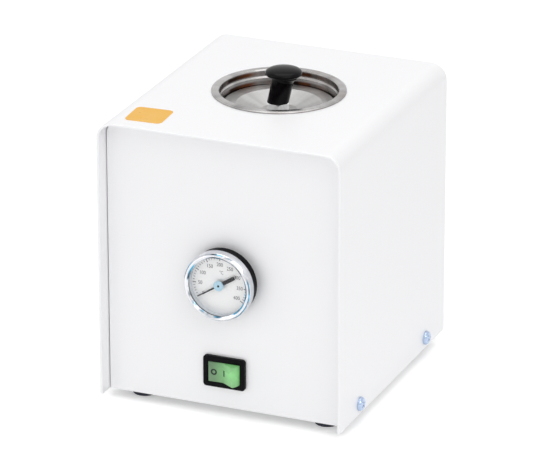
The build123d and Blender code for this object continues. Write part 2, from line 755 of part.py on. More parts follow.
def make_dish_screws():
    """Countersunk screws that hold the dish and the cup on the block."""
    return group([countersunk(0, DISH_SCREW_L, x, y) for x, y in dish_screw_places()])


def make_bead_cup():
    """Drawn cup with a flange that hangs in the heating block."""
    outer_r = CUP_R + CUP_T
    cup = rod_z(outer_r, CUP_FOOT, CUP_MOUTH, WELL_X, WELL_Y)
    cup = fillet(cup.faces().sort_by(Axis.Z)[0].edges(), CUP_CORNER_R)
    cup += rod_z(CUP_FLANGE_R, BLOCK_TOP, CUP_MOUTH, WELL_X, WELL_Y)
    bore = rod_z(CUP_R, CUP_FOOT + CUP_T, CUP_MOUTH, WELL_X, WELL_Y)
    bore = fillet(bore.faces().sort_by(Axis.Z)[0].edges(), CUP_CORNER_R - CUP_T)
    cup -= bore
    for x, y in dish_screw_places():
        cup -= rod_z(DISH_SCREW_R + HOLE_GAP, BLOCK_TOP, CUP_MOUTH, x, y)
    return cup


def make_glass_beads():
    """Bed of beads as one closed solid."""
    foot = CUP_FOOT + CUP_T + SEAT_GAP
    bed = rod_z(CUP_R - SEAT_GAP, foot, BEAD_TOP, WELL_X, WELL_Y)
    return fillet(bed.faces().sort_by(Axis.Z)[0].edges(), CUP_CORNER_R - CUP_T)


def stud_bend():
    """Point on the nut's top where the stud bends, and the direction it leans in."""
    az = radians(KNOB_LEAN_AZ)
    lean = radians(KNOB_LEAN)
    bend = Vector(WELL_X + KNOB_X, WELL_Y + KNOB_Y, LID_TOP - LID_DISH + NUT_H)
    return bend, Vector(sin(lean) * cos(az), sin(lean) * sin(az), cos(lean))


def leaning_rod(r, start, end):
    """Round bar on the leaning axis, between two distances from the bend."""
    bend, direction = stud_bend()
    base = Plane(origin=bend + direction * start, z_dir=direction)
    return base * Pos(0, 0, (end - start) / 2) * Cylinder(r, end - start)


def make_lid_plate():
    """Spun disc with a dished middle and a hole for the stud."""
    top = LID_TOP
    profile = [
        (0, top - LID_DISH),
        (LID_FLAT_R, top - LID_DISH),
        (LID_CONE_R, top),
        (LID_R, top),
        (LID_R, top - LID_T),
        (LID_CONE_R, top - LID_T),
        (LID_FLAT_R, top - LID_DISH - LID_T),
        (0, top - LID_DISH - LID_T),
    ]
    plate = turned(profile, WELL_X, WELL_Y)
    rim = plate.edges().filter_by(GeomType.CIRCLE).sort_by(SortBy.RADIUS)[-2:]
    plate = fillet(rim, LID_EDGE_R)
    bend, _ = stud_bend()
    return plate - rod_z(STUD_R + HOLE_GAP, top - 3 * LID_DISH, top, bend.X, bend.Y)


def make_lid_stud():
    """Stud with a flat head under the lid, bent above the nut where it enters the knob."""
    bend, _ = stud_bend()
    under = LID_TOP - LID_DISH - LID_T
    head = rod_z(STUD_HEAD_R, under - STUD_HEAD_T, under, bend.X, bend.Y)
    upright = rod_z(STUD_R, under, bend.Z, bend.X, bend.Y)
    knee = Pos(bend.X, bend.Y, bend.Z) * Sphere(STUD_R)
    return head + upright + knee + leaning_rod(STUD_R, 0, STUD_IN_KNOB)


def make_lid_nut():
    """Hexagonal nut under the knob, chamfered at the top."""
    bend, _ = stud_bend()
    z0 = bend.Z - NUT_H
    corner_r = NUT_AF / 2 / cos(pi / 6)
    profile = [
        (0, z0),
        (corner_r, z0),
        (corner_r, bend.Z - NUT_CHAMFER / 2),
        (corner_r - NUT_CHAMFER, bend.Z),
        (0, bend.Z),
    ]
    nut = hex_z(NUT_AF, z0, bend.Z, bend.X, bend.Y, NUT_TURN)
    nut &= turned(profile, bend.X, bend.Y)
    return nut - rod_z(STUD_R + RUNNING_GAP, z0, bend.Z, bend.X, bend.Y)


def make_lid_knob():
    """Mushroom knob: a slanting stem that stands on the nut, under a level cap."""
    bend, direction = stud_bend()
    top = bend + direction * STEM_L
    rim_z = top.Z + CAP_UNDER_H
    stem = leaning_rod(STEM_R, -STEM_R, STEM_L + CAP_UNDER_H)
    stem &= block(-COVER_W, COVER_W, -COVER_D, COVER_D, bend.Z, rim_z)
    steps = 8
    dome = []
    for i in range(steps):
        a = pi / 2 * i / steps
        dome.append((CAP_R * cos(a), rim_z + CAP_EDGE_H + CAP_DOME_H * sin(a)))
    dome.append((0, rim_z + CAP_EDGE_H + CAP_DOME_H))
    under = [(0, top.Z), (STEM_R, top.Z), (CAP_R, rim_z)]
    cap = turned(under + dome, top.X, top.Y)
    return stem + cap - leaning_rod(STUD_R + RUNNING_GAP, -STEM_R, STUD_IN_KNOB + SEAT_GAP)


def make_heating_block():
    """Block round the cup, with bores for the thermometer stem and the thermostat's bulb."""
    body = rod_z(BLOCK_R, BLOCK_FOOT, BLOCK_TOP, WELL_X, WELL_Y)
    pocket_r = CUP_R + CUP_T + BLOCK_FIT
    body -= rod_z(pocket_r, CUP_FOOT, BLOCK_TOP, WELL_X, WELL_Y)
    stem_bore_r = THERMO_STEM_R + RUNNING_GAP
    body -= rod_y(stem_bore_r, BLOCK_FRONT_Y - 1, STEM_TIP_Y + SEAT_GAP, GAUGE_X, GAUGE_AXIS_Z)
    bulb_x = WELL_X + BULB_OFFSET_X
    body -= rod_z(BULB_R + RUNNING_GAP, BLOCK_FOOT, CUP_FOOT - BULB_COVER, bulb_x, WELL_Y)
    for x, y in dish_screw_places():
        body -= rod_z(DISH_SCREW_R + RUNNING_GAP, BLOCK_TOP - DISH_SCREW_L, BLOCK_TOP, x, y)
    return body


def band_radii():
    """Inner and outer radius of the band heater."""
    inner = BLOCK_R + BAND_FIT
    return inner, inner + BAND_T


def make_band_heater():
    """Split band with two ears at the rear and two terminal lugs."""
    inner, outer = band_radii()
    z0, z1, mid = BAND_Z0, BAND_Z1, BAND_MID_Z
    band = rod_z(outer, z0, z1, WELL_X, WELL_Y) - rod_z(inner, z0, z1, WELL_X, WELL_Y)
    band -= block(WELL_X - BAND_SPLIT / 2, WELL_X + BAND_SPLIT / 2, WELL_Y, WELL_Y + 2 * outer, z0, z1)
    for side in (-1, 1):
        x0, x1 = sorted((WELL_X + side * BAND_SPLIT / 2, WELL_X + side * (BAND_SPLIT / 2 + EAR_T)))
        y0 = WELL_Y + inner + BAND_T / 2
        ear = block(x0, x1, y0, WELL_Y + outer + EAR_OUT, mid - EAR_H / 2, mid + EAR_H / 2)
        band += ear
        lug_x0, lug_x1 = sorted((WELL_X + side * (outer - BAND_T / 2), WELL_X + side * (outer + LUG_OUT)))
        band += block(lug_x0, lug_x1, WELL_Y - LUG_W / 2, WELL_Y + LUG_W / 2, z0, z0 + LUG_H)
    band -= rod_x(EAR_SCREW_R + HOLE_GAP, -COVER_W, COVER_W, ear_screw_y(), mid)
    return band


def ear_screw_y():
    """Y of the screw through the band's ears."""
    return WELL_Y + band_radii()[1] + EAR_OUT / 2


def make_band_screw():
    """Screw and nut that draw the ears together, as one tightened pair of solids."""
    mid = BAND_MID_Z
    y = ear_screw_y()
    reach = BAND_SPLIT / 2 + EAR_T
    end = WELL_X - reach - SMALL_NUT_T - EAR_SCREW_PROUD
    head = rod_x(EAR_SCREW_HEAD_R, WELL_X + reach, WELL_X + reach + EAR_SCREW_HEAD_H, y, mid)
    shank = rod_x(EAR_SCREW_R, end, WELL_X + reach, y, mid)
    outline = RegularPolygon(SMALL_NUT_AF / 2 / cos(pi / 6), 6)
    nut = Pos(WELL_X - reach - SMALL_NUT_T, y, mid) * Rot(0, 90, 0) * extrude(outline, SMALL_NUT_T)
    nut -= rod_x(EAR_SCREW_R + RUNNING_GAP, end, WELL_X, y, mid)
    return group([head + shank, nut])


def heater_lead_x(side):
    """X of a heater lead, between the band and the sleeve."""
    return WELL_X + side * (band_radii()[1] + LUG_OUT - WIRE_R)


def make_sleeve():
    """Mineral wool sleeve with a notch for the band's ears and a hole for the thermometer."""
    top = SHIELD_TOP - SEAT_GAP
    foot = SHIELD_FOOT + SHIELD_T
    sleeve = rod_z(SLEEVE_R1, foot, top, WELL_X, WELL_Y) - rod_z(SLEEVE_R0, foot, top, WELL_X, WELL_Y)
    mid = BAND_MID_Z
    notch_out = WELL_Y + SLEEVE_R1 - SLEEVE_NOTCH_WALL
    sleeve -= block(
        WELL_X - SLEEVE_NOTCH_W / 2,
        WELL_X + SLEEVE_NOTCH_W / 2,
        WELL_Y,
        notch_out,
        mid - SLEEVE_NOTCH_H / 2,
        mid + SLEEVE_NOTCH_H / 2,
    )
    sleeve -= rod_y(THERMO_STEM_R + SEAT_GAP, -COVER_D, WELL_Y, GAUGE_X, GAUGE_AXIS_Z)
    for x, y in standoff_places():
        sleeve -= rod_z(STANDOFF_HEAD_R + SEAT_GAP, foot, foot + STANDOFF_HEAD_H + SEAT_GAP, x, y)
    return sleeve


def make_insulation_disc():
    """Mineral wool disc under the block, with holes for the leads and the bulb."""
    z0 = SHIELD_FOOT + SHIELD_T
    disc = rod_z(SLEEVE_R0 - SEAT_GAP, z0, BLOCK_FOOT, WELL_X, WELL_Y)
    for side in (-1, 1):
        disc -= rod_z(WIRE_R + SEAT_GAP, z0, BLOCK_FOOT, heater_lead_x(side), WELL_Y)
    bulb_x = WELL_X + BULB_OFFSET_X
    return disc - rod_z(BULB_R + SEAT_GAP, z0, BLOCK_FOOT, bulb_x, WELL_Y)


def make_shield():
    """Outer can with a floor, holes for leads, bulb, screws and thermometer."""
    inner_r = SHIELD_R1 - SHIELD_T
    can = rod_z(SHIELD_R1, SHIELD_FOOT, SHIELD_TOP, WELL_X, WELL_Y)
    can -= rod_z(inner_r, SHIELD_FOOT + SHIELD_T, SHIELD_TOP, WELL_X, WELL_Y)
    can -= rod_y(THERMO_STEM_R + PANEL_GAP, -COVER_D, WELL_Y, GAUGE_X, GAUGE_AXIS_Z)
    for side in (-1, 1):
        can -= rod_z(BUSH_R, SHIELD_FOOT, SHIELD_FOOT + SHIELD_T, heater_lead_x(side), WELL_Y)
    bulb_x = WELL_X + BULB_OFFSET_X
    can -= rod_z(BULB_R + SEAT_GAP, SHIELD_FOOT, SHIELD_FOOT + SHIELD_T, bulb_x, WELL_Y)
    for x, y in standoff_places():
        can -= rod_z(STANDOFF_SCREW_R + HOLE_GAP, SHIELD_FOOT, SHIELD_FOOT + SHIELD_T, x, y)
    return can


def make_shield_collar():
    """Annular plate that closes the can round the block."""
    z1 = SHIELD_TOP + SHIELD_T
    hole_r = BLOCK_R + COLLAR_GAP
    plate = rod_z(SHIELD_R1, SHIELD_TOP, z1, WELL_X, WELL_Y)
    return plate - rod_z(hole_r, SHIELD_TOP, z1, WELL_X, WELL_Y)


def make_lead_bushes():
    """Ceramic bushes where the leads leave the can."""
    bushes = []
    for side in (-1, 1):
        x = heater_lead_x(side)
        z0 = SHIELD_FOOT - BUSH_T
        z1 = SHIELD_FOOT + SHIELD_T
        bush = rod_z(BUSH_R - RUNNING_GAP, z0, z1, x, WELL_Y)
        bush += rod_z(BUSH_R + BUSH_FLANGE_W, z0, SHIELD_FOOT, x, WELL_Y)
        bushes.append(bush - rod_z(WIRE_R + RUNNING_GAP, z0, z1, x, WELL_Y))
    return group(bushes)


def standoff_places():
    """Places of the four pillars."""
    return [(WELL_X + x, WELL_Y + y) for x, y in corners(STANDOFF_OFFSET, STANDOFF_OFFSET)]


def make_standoffs():
    """Hexagonal pillars from the tray to the can."""
    pillars = []
    for x, y in standoff_places():
        pillar = hex_z(STANDOFF_AF, TRAY_TOP, SHIELD_FOOT, x, y)
        pillars.append(pillar - rod_z(STANDOFF_SCREW_R + RUNNING_GAP, TRAY_TOP, SHIELD_FOOT, x, y))
    return group(pillars)


def make_standoff_screws():
    """Screws into both ends of each pillar."""
    screws = []
    for x, y in standoff_places():
        low = rod_z(STANDOFF_HEAD_R, TRAY_Z - STANDOFF_HEAD_H, TRAY_Z, x, y)
        low += rod_z(STANDOFF_SCREW_R, TRAY_Z, TRAY_Z + STANDOFF_SCREW_L, x, y)
        seat = SHIELD_FOOT + SHIELD_T
        high = rod_z(STANDOFF_HEAD_R, seat, seat + STANDOFF_HEAD_H, x, y)
        high += rod_z(STANDOFF_SCREW_R, seat - STANDOFF_SCREW_L, seat, x, y)
        screws += [low, high]
    return group(screws)


def make_gauge_case():
    """Black case in front of the panel, with its threaded neck through it."""
    inner_r = CASE_R - BEZEL_WALL
    bezel_rear = GAUGE_FRONT_Y + BEZEL_D
    step_r = BEZEL_R - BEZEL_WALL - RUNNING_GAP
    floor_y = DIAL_Y + DIAL_T
    profile = [
        (SPINDLE_R + RUNNING_GAP, floor_y),
        (inner_r - CASE_LEDGE, floor_y),
        (inner_r - CASE_LEDGE, GLASS_Y + GLASS_T + SEAT_GAP),
        (step_r, GLASS_Y + GLASS_T + SEAT_GAP),
        (step_r, bezel_rear),
        (CASE_R, bezel_rear),
        (CASE_R, FRONT_Y),
        (NECK_R, FRONT_Y),
        (NECK_R, FRONT_Y + NECK_L),
        (THERMO_STEM_R + RUNNING_GAP, FRONT_Y + NECK_L),
        (THERMO_STEM_R + RUNNING_GAP, FRONT_Y),
        (SPINDLE_R + RUNNING_GAP, FRONT_Y),
    ]
    return turned_y(profile, GAUGE_X, GAUGE_AXIS_Z)


def make_gauge_bezel():
    """Polished ring over the glass, with a rounded nose."""
    inner_r = BEZEL_R - BEZEL_WALL
    rear = GAUGE_FRONT_Y + BEZEL_D
    steps = 6
    nose = []
    for i in range(steps + 1):
        a = pi / 2 * i / steps
        nose.append(
            (
                BEZEL_R - BEZEL_NOSE_R + BEZEL_NOSE_R * cos(a),
                GAUGE_FRONT_Y + BEZEL_NOSE_R - BEZEL_NOSE_R * sin(a),
            )
        )
    profile = [(inner_r, rear), (BEZEL_R, rear)] + nose + [
        (BEZEL_OPENING_R + BEZEL_CHAMFER_W, GAUGE_FRONT_Y),
        (BEZEL_OPENING_R, GAUGE_FRONT_Y + BEZEL_CHAMFER_D),
        (BEZEL_OPENING_R, GLASS_Y),
        (inner_r, GLASS_Y),
    ]
    return turned_y(profile, GAUGE_X, GAUGE_AXIS_Z)


def make_gauge_glass():
    """Flat glass held by the bezel."""
    r = BEZEL_R - BEZEL_WALL - RUNNING_GAP
    return rod_y(r, GLASS_Y, GLASS_Y + GLASS_T, GAUGE_X, GAUGE_AXIS_Z)


def make_gauge_dial():
    """Printed dial plate."""
    dial = rod_y(DIAL_R, DIAL_Y, DIAL_Y + DIAL_T, GAUGE_X, GAUGE_AXIS_Z)
    return dial - rod_y(SPINDLE_R + SEAT_GAP, DIAL_Y, DIAL_Y + DIAL_T, GAUGE_X, GAUGE_AXIS_Z)


def make_gauge_pointer():
    """Needle with its broad tail, at rest on the zero mark."""
    blade = Polyline(
        (0, POINTER_W / 2),
        (POINTER_L, POINTER_TIP_W / 2),
        (POINTER_L, -POINTER_TIP_W / 2),
        (0, -POINTER_W / 2),
        close=True,
    )
    flat = make_face(blade) + Pos(-TAIL_L / 2, 0) * Rectangle(TAIL_L, TAIL_W) + Circle(POINTER_BOSS_R)
    flat -= Circle(SPINDLE_R)
    solid = Rot(90, 0, 0) * extrude(flat, POINTER_T)
    turned_to_rest = Rot(0, -POINTER_ANGLE, 0) * solid
    return Pos(GAUGE_X, POINTER_Y + POINTER_T, GAUGE_AXIS_Z) * turned_to_rest


def make_pointer_hub():
    """Pale boss pressed on the spindle, in front of the needle."""
    hub = rod_y(HUB_R, POINTER_Y - HUB_T, POINTER_Y, GAUGE_X, GAUGE_AXIS_Z)
    return hub - rod_y(SPINDLE_R, POINTER_Y - HUB_T, POINTER_Y, GAUGE_X, GAUGE_AXIS_Z)


def make_gauge_spindle():
    """Spindle from the bimetal strip to the hub."""
    end = STEM_TIP_Y - THERMO_STEM_WALL - BIMETAL_L - SEAT_GAP
    return rod_y(SPINDLE_R, POINTER_Y - HUB_T, end, GAUGE_X, GAUGE_AXIS_Z)


def make_thermometer_stem():
    """Closed tube from the neck into the heating block."""
    tube = rod_y(THERMO_STEM_R, FRONT_Y, STEM_TIP_Y, GAUGE_X, GAUGE_AXIS_Z)
    bore_r = THERMO_STEM_R - THERMO_STEM_WALL
    return tube - rod_y(bore_r, FRONT_Y, STEM_TIP_Y - THERMO_STEM_WALL, GAUGE_X, GAUGE_AXIS_Z)


def make_bimetal_strip():
    """Bimetal strip in the tip of the stem."""
    y1 = STEM_TIP_Y - THERMO_STEM_WALL
    half_w = THERMO_STEM_R - THERMO_STEM_WALL - SEAT_GAP
    return block(
        GAUGE_X - half_w,
        GAUGE_X + half_w,
        y1 - BIMETAL_L,
        y1,
        GAUGE_AXIS_Z - BIMETAL_T / 2,
        GAUGE_AXIS_Z + BIMETAL_T / 2,
    )


def make_gauge_nut():
    """Nut on the neck behind the panel."""
    y0 = FRONT_Y + PANEL_T
    nut = hex_y(NECK_NUT_AF, y0, y0 + NECK_NUT_T, GAUGE_X, GAUGE_AXIS_Z)
    return nut - rod_y(NECK_R + RUNNING_GAP, y0, y0 + NECK_NUT_T, GAUGE_X, GAUGE_AXIS_Z)


def make_switch_body():
    """Housing with a rounded bezel, a cavity for the rocker and bores for the pivot."""
    lip = Pos(SWITCH_X, SWITCH_MID_Z) * RectangleRounded(SWITCH_W, SWITCH_H, SWITCH_CORNER_R)
    bezel = Pos(0, FRONT_Y, 0) * Rot(90, 0, 0) * extrude(lip, SWITCH_LIP)
    bezel = fillet(bezel.faces().sort_by(Axis.Y)[0].edges(), SWITCH_LIP_EDGE_R)
    half_w = SWITCH_BODY_W / 2
    half_h = SWITCH_BODY_H / 2
    body = bezel + block(
        SWITCH_X - half_w, SWITCH_X + half_w, FRONT_Y, SWITCH_BACK_Y, SWITCH_MID_Z - half_h, SWITCH_MID_Z + half_h
    )
    front = FRONT_Y - SWITCH_LIP
    cavity_w = ROCKER_W / 2 + SEAT_GAP
    cavity_h = ROCKER_H / 2 + SEAT_GAP
    body -= block(
        SWITCH_X - cavity_w,
        SWITCH_X + cavity_w,
        front,
        front + SWITCH_CAVITY_D + SWITCH_LIP,
        SWITCH_MID_Z - cavity_h,
        SWITCH_MID_Z + cavity_h,
    )
    pin = Pos(SWITCH_X, PIVOT_Y, 0) * rod_z(
        PIVOT_R + RUNNING_GAP, SWITCH_MID_Z - pivot_half_l(), SWITCH_MID_Z + pivot_half_l()
    )
    body -= pin
    for x, z in blade_places():
        body -= block(
            x - BLADE_W / 2 - RUNNING_GAP,
            x + BLADE_W / 2 + RUNNING_GAP,
            SWITCH_BACK_Y - SWITCH_WALL - BLADE_ROOT,
            SWITCH_BACK_Y,
            z - BLADE_T / 2 - RUNNING_GAP,
            z + BLADE_T / 2 + RUNNING_GAP,
        )
    return body


def pivot_half_l():
    """Half the length of the rocker's pivot pin."""
    return ROCKER_H / 2 + SEAT_GAP + SWITCH_WALL


def blade_places():
    """Places of the switch's four terminals."""
    for x in (-SWITCH_BLADE_X, SWITCH_BLADE_X):
        for z in (-SWITCH_BLADE_Z, SWITCH_BLADE_Z):
            yield SWITCH_X + x, SWITCH_MID_Z + z


def make_switch_rocker():
    """Rocker with a hollow V front and ends round the pivot, tilted to its O side."""
    half = ROCKER_W / 2
    nose = radians(ROCKER_NOSE)
    heel = radians(ROCKER_HEEL)
    left_nose = (-half * cos(nose), -half * sin(nose))
    right_nose = (half * cos(nose), -half * sin(nose))
    left_heel = (-half * cos(heel), half * sin(heel))
    right_heel = (half * cos(heel), half * sin(heel))
    outline = [
        Line(left_nose, (0, -ROCKER_MIDDLE)),
        Line((0, -ROCKER_MIDDLE), right_nose),
        ThreePointArc(right_nose, (half, 0), right_heel),
        Line(right_heel, left_heel),
        ThreePointArc(left_heel, (-half, 0), left_nose),
    ]
    rocker = extrude(make_face(outline), ROCKER_H)
    rocker = fillet(rocker.edges().filter_by(Axis.Z).group_by(Axis.Y)[0], ROCKER_EDGE_R)
    rocker -= rod_z(PIVOT_R + RUNNING_GAP, 0, ROCKER_H)
    hollow_half = half * cos(heel) - ROCKER_WALL
    hollow_y = PIVOT_R + ROCKER_BOSS
    rocker -= block(-hollow_half, hollow_half, hollow_y, half, ROCKER_WALL, ROCKER_H - ROCKER_WALL)
    placed = Pos(SWITCH_X, PIVOT_Y, SWITCH_MID_Z - ROCKER_H / 2) * Rot(0, 0, -ROCKER_TILT) * rocker
    return placed


def make_switch_pivot():
    """Pin that the rocker turns on."""
    return rod_z(
        PIVOT_R, SWITCH_MID_Z - pivot_half_l(), SWITCH_MID_Z + pivot_half_l(), SWITCH_X, PIVOT_Y
    )


def make_switch_lamp():
    """Small lamp on the floor of the housing, behind the rocker."""
    y = FRONT_Y + SWITCH_CAVITY_D - LAMP_R - LAMP_SEAT
    return rod_x(LAMP_R, SWITCH_X - LAMP_L / 2, SWITCH_X + LAMP_L / 2, y, SWITCH_MID_Z)


def make_switch_terminals():
    """Four blade terminals."""
    blades = []
    for x, z in blade_places():
        blades.append(
            block(
                x - BLADE_W / 2,
                x + BLADE_W / 2,
                SWITCH_BACK_Y - SWITCH_WALL - BLADE_ROOT,
                SWITCH_BACK_Y + BLADE_L,
                z - BLADE_T / 2,
                z + BLADE_T / 2,
            )
        )
    return group(blades)


def socket_outline(grow=0.0):
    """Outline of the inlet's socket, with two corners cut off at the top."""
    w = SOCKET_W / 2 + grow
    h = SOCKET_H / 2 + grow
    c = SOCKET_CORNER
    return make_face(
        Polyline((-w, -h), (w, -h), (w, h - c), (w - c, h), (c - w, h), (-w, h - c), close=True)
    )


def make_inlet_body():
    """Inlet housing: flange, body, socket and the drawer's slot."""
    flange = Pos(INLET_X, INLET_Z) * RectangleRounded(INLET_FLANGE_W, INLET_FLANGE_H, INLET_CORNER_R)
    body = Pos(0, INLET_FRONT_Y, 0) * Rot(90, 0, 0) * extrude(flange, INLET_FLANGE_T)
    body = fillet(body.faces().sort_by(Axis.Y)[-1].edges(), INLET_EDGE_R)
    half_w = INLET_BODY_W / 2
    half_h = INLET_BODY_H / 2
    body += block(
        INLET_X - half_w, INLET_X + half_w, INLET_BACK_Y, REAR_Y, INLET_Z - half_h, INLET_Z + half_h
    )
    socket = Pos(INLET_X, INLET_FRONT_Y, SOCKET_Z) * Rot(90, 0, 0) * extrude(socket_outline(), SOCKET_D)
    body -= socket
    slot_w = DRAWER_W / 2 + SEAT_GAP
    slot_h = DRAWER_H / 2 + SEAT_GAP
    body -= block(
        INLET_X - slot_w,
        INLET_X + slot_w,
        INLET_FRONT_Y - DRAWER_D - SEAT_GAP,
        INLET_FRONT_Y,
        DRAWER_Z - slot_h,
        DRAWER_Z + slot_h,
    )
    for x in inlet_screw_places():
        body -= rod_y(INLET_SCREW_R + HOLE_GAP, REAR_Y, INLET_FRONT_Y, x, INLET_Z)
    for x, z in pin_places():
        body -= block(
            x - PIN_W / 2 - RUNNING_GAP,
            x + PIN_W / 2 + RUNNING_GAP,
            INLET_BACK_Y,
            REAR_Y,
            z - PIN_H / 2 - RUNNING_GAP,
            z + PIN_H / 2 + RUNNING_GAP,
        )
    return body


def pin_places():
    """Places of live, earth and neutral pins."""
    return [
        (INLET_X - PIN_X, SOCKET_Z - PIN_OFFSET_Z),
        (INLET_X, SOCKET_Z + PIN_OFFSET_Z),
        (INLET_X + PIN_X, SOCKET_Z - PIN_OFFSET_Z),
    ]


def make_inlet_pins():
    """Three pins from the socket to their tails behind the body."""
    pins = []
    for x, z in pin_places():
        tip = INLET_FRONT_Y - SOCKET_D + PIN_L
        tail = INLET_BACK_Y - PIN_BACK
        pins.append(block(x - PIN_W / 2, x + PIN_W / 2, tail, tip, z - PIN_H / 2, z + PIN_H / 2))
    return group(pins)


def make_inlet_screws():
    """Two screws through the flange of the inlet."""
    screws = []
    for x in inlet_screw_places():
        screw = pan_screw(
            INLET_SCREW_R,
            INLET_SCREW_L,
            INLET_SCREW_HEAD_R,
            INLET_SCREW_HEAD_H,
            INLET_SCREW_EDGE_R,
            INLET_SCREW_SLOT_W,
            INLET_SCREW_SLOT_D,
        )
        screws.append(Pos(x, INLET_FRONT_Y, INLET_Z) * Rot(-90, 0, 0) * screw)
    return group(screws)


def inlet_screw_places():
    """X of the two inlet screws."""
    return (INLET_X - INLET_SCREW_X, INLET_X + INLET_SCREW_X)


def make_fuse_drawer():
    """Drawer with a face plate, a grip and two troughs for fuses."""
    half_w = DRAWER_W / 2
    half_h = DRAWER_H / 2
    face_y = INLET_FRONT_Y + SEAT_GAP
    drawer = block(
        INLET_X - half_w, INLET_X + half_w, INLET_FRONT_Y - DRAWER_D, face_y, DRAWER_Z - half_h, DRAWER_Z + half_h
    )
    face = Pos(INLET_X, DRAWER_Z) * RectangleRounded(DRAWER_FACE_W, DRAWER_FACE_H, DRAWER_FACE_CORNER_R)
    drawer += Pos(0, face_y + DRAWER_FACE_T, 0) * Rot(90, 0, 0) * extrude(face, DRAWER_FACE_T)
    drawer = fillet(drawer.faces().sort_by(Axis.Y)[-1].edges(), DRAWER_FACE_EDGE_R)
    grip_y = face_y + DRAWER_FACE_T
    drawer += block(
        INLET_X - GRIP_W / 2, INLET_X + GRIP_W / 2, grip_y, grip_y + GRIP_D, DRAWER_Z - GRIP_H / 2, DRAWER_Z + GRIP_H / 2
    )
    for side in (-1, 1):
        x = INLET_X + side * FUSE_X
        r = FUSE_R + FUSE_FIT
        y0 = INLET_FRONT_Y - DRAWER_D + DRAWER_WALL
        y1 = y0 + FUSE_L + 2 * FUSE_END_GAP
        drawer -= block(x - r, x + r, y0, y1, FUSE_Z, DRAWER_Z + half_h)
        drawer -= rod_y(r, y0, y1, x, FUSE_Z)
    return drawer


def make_fuses():
    """Two glass fuses in the drawer."""
    fuses = []
    for side in (-1, 1):
        x = INLET_X + side * FUSE_X
        y0 = INLET_FRONT_Y - DRAWER_D + DRAWER_WALL + FUSE_END_GAP
        fuse = rod_y(FUSE_R - FUSE_CAP_STEP, y0, y0 + FUSE_L, x, FUSE_Z)
        fuse += rod_y(FUSE_R, y0, y0 + FUSE_CAP_L, x, FUSE_Z)
        fuse += rod_y(FUSE_R, y0 + FUSE_L - FUSE_CAP_L, y0 + FUSE_L, x, FUSE_Z)
        fuses.append(fuse)
    return group(fuses)


def make_thermostat():
    """Thermostat housing."""
    body = block(
        THERMOSTAT_X - THERMOSTAT_W / 2,
        THERMOSTAT_X + THERMOSTAT_W / 2,
        THERMOSTAT_Y - THERMOSTAT_D / 2,
        THERMOSTAT_Y + THERMOSTAT_D / 2,
        THERMOSTAT_Z,
        THERMOSTAT_Z + THERMOSTAT_H,
    )
    return fillet(body.edges().filter_by(Axis.Z), THERMOSTAT_CORNER_R)


def make_thermostat_bracket():
    """Bracket that stands on the tray and carries the thermostat."""
    z1 = THERMOSTAT_Z
    x0 = THERMOSTAT_X - THERMOSTAT_W / 2
    x1 = THERMOSTAT_X + THERMOSTAT_W / 2
    y0 = THERMOSTAT_Y - THERMOSTAT_D / 2
    y1 = THERMOSTAT_Y + THERMOSTAT_D / 2
    plate = block(x0, x1, y0, y1, z1 - THERMOSTAT_FOOT_T, z1)
    for y in (y0, y1 - THERMOSTAT_FOOT_T):
        plate += block(x0, x1, y, y + THERMOSTAT_FOOT_T, TRAY_TOP, z1)
    for foot_y0, foot_y1 in ((y0, y0 + THERMOSTAT_FOOT), (y1 - THERMOSTAT_FOOT, y1)):
        plate += block(x0, x1, foot_y0, foot_y1, TRAY_TOP, TRAY_TOP + THERMOSTAT_FOOT_T)
    return plate


def make_thermostat_bulb():
    """Sensing bulb in the floor of the block."""
    return rod_z(BULB_R, BULB_TOP - BULB_L, BULB_TOP, WELL_X + BULB_OFFSET_X, WELL_Y)


def make_capillary():
    """Thin tube from the bulb to the thermostat's side."""
    bulb_x = WELL_X + BULB_OFFSET_X
    bulb_foot = BULB_TOP - BULB_L
    side = THERMOSTAT_X + THERMOSTAT_W / 2
    z = THERMOSTAT_Z + THERMOSTAT_TUBE_Z
    points = [
        (bulb_x, WELL_Y, bulb_foot),
        (bulb_x, WELL_Y, bulb_foot - 9),
        (bulb_x - 7, WELL_Y - 3, bulb_foot - 15),
        (side + 5, THERMOSTAT_Y, z),
        (side, THERMOSTAT_Y, z),
    ]
    return wire(points, CAPILLARY_R)


def crimp_middle_z():
    """Middle of the earth tag's crimp."""
    return TRAY_TOP + CRIMP_W / 2


def link_place():
    """X, rear end in Y, and Z of the thermal fuse."""
    return heater_lead_x(1) + LINK_OUT, WELL_Y - LINK_BACK, SHIELD_FOOT - LINK_DROP


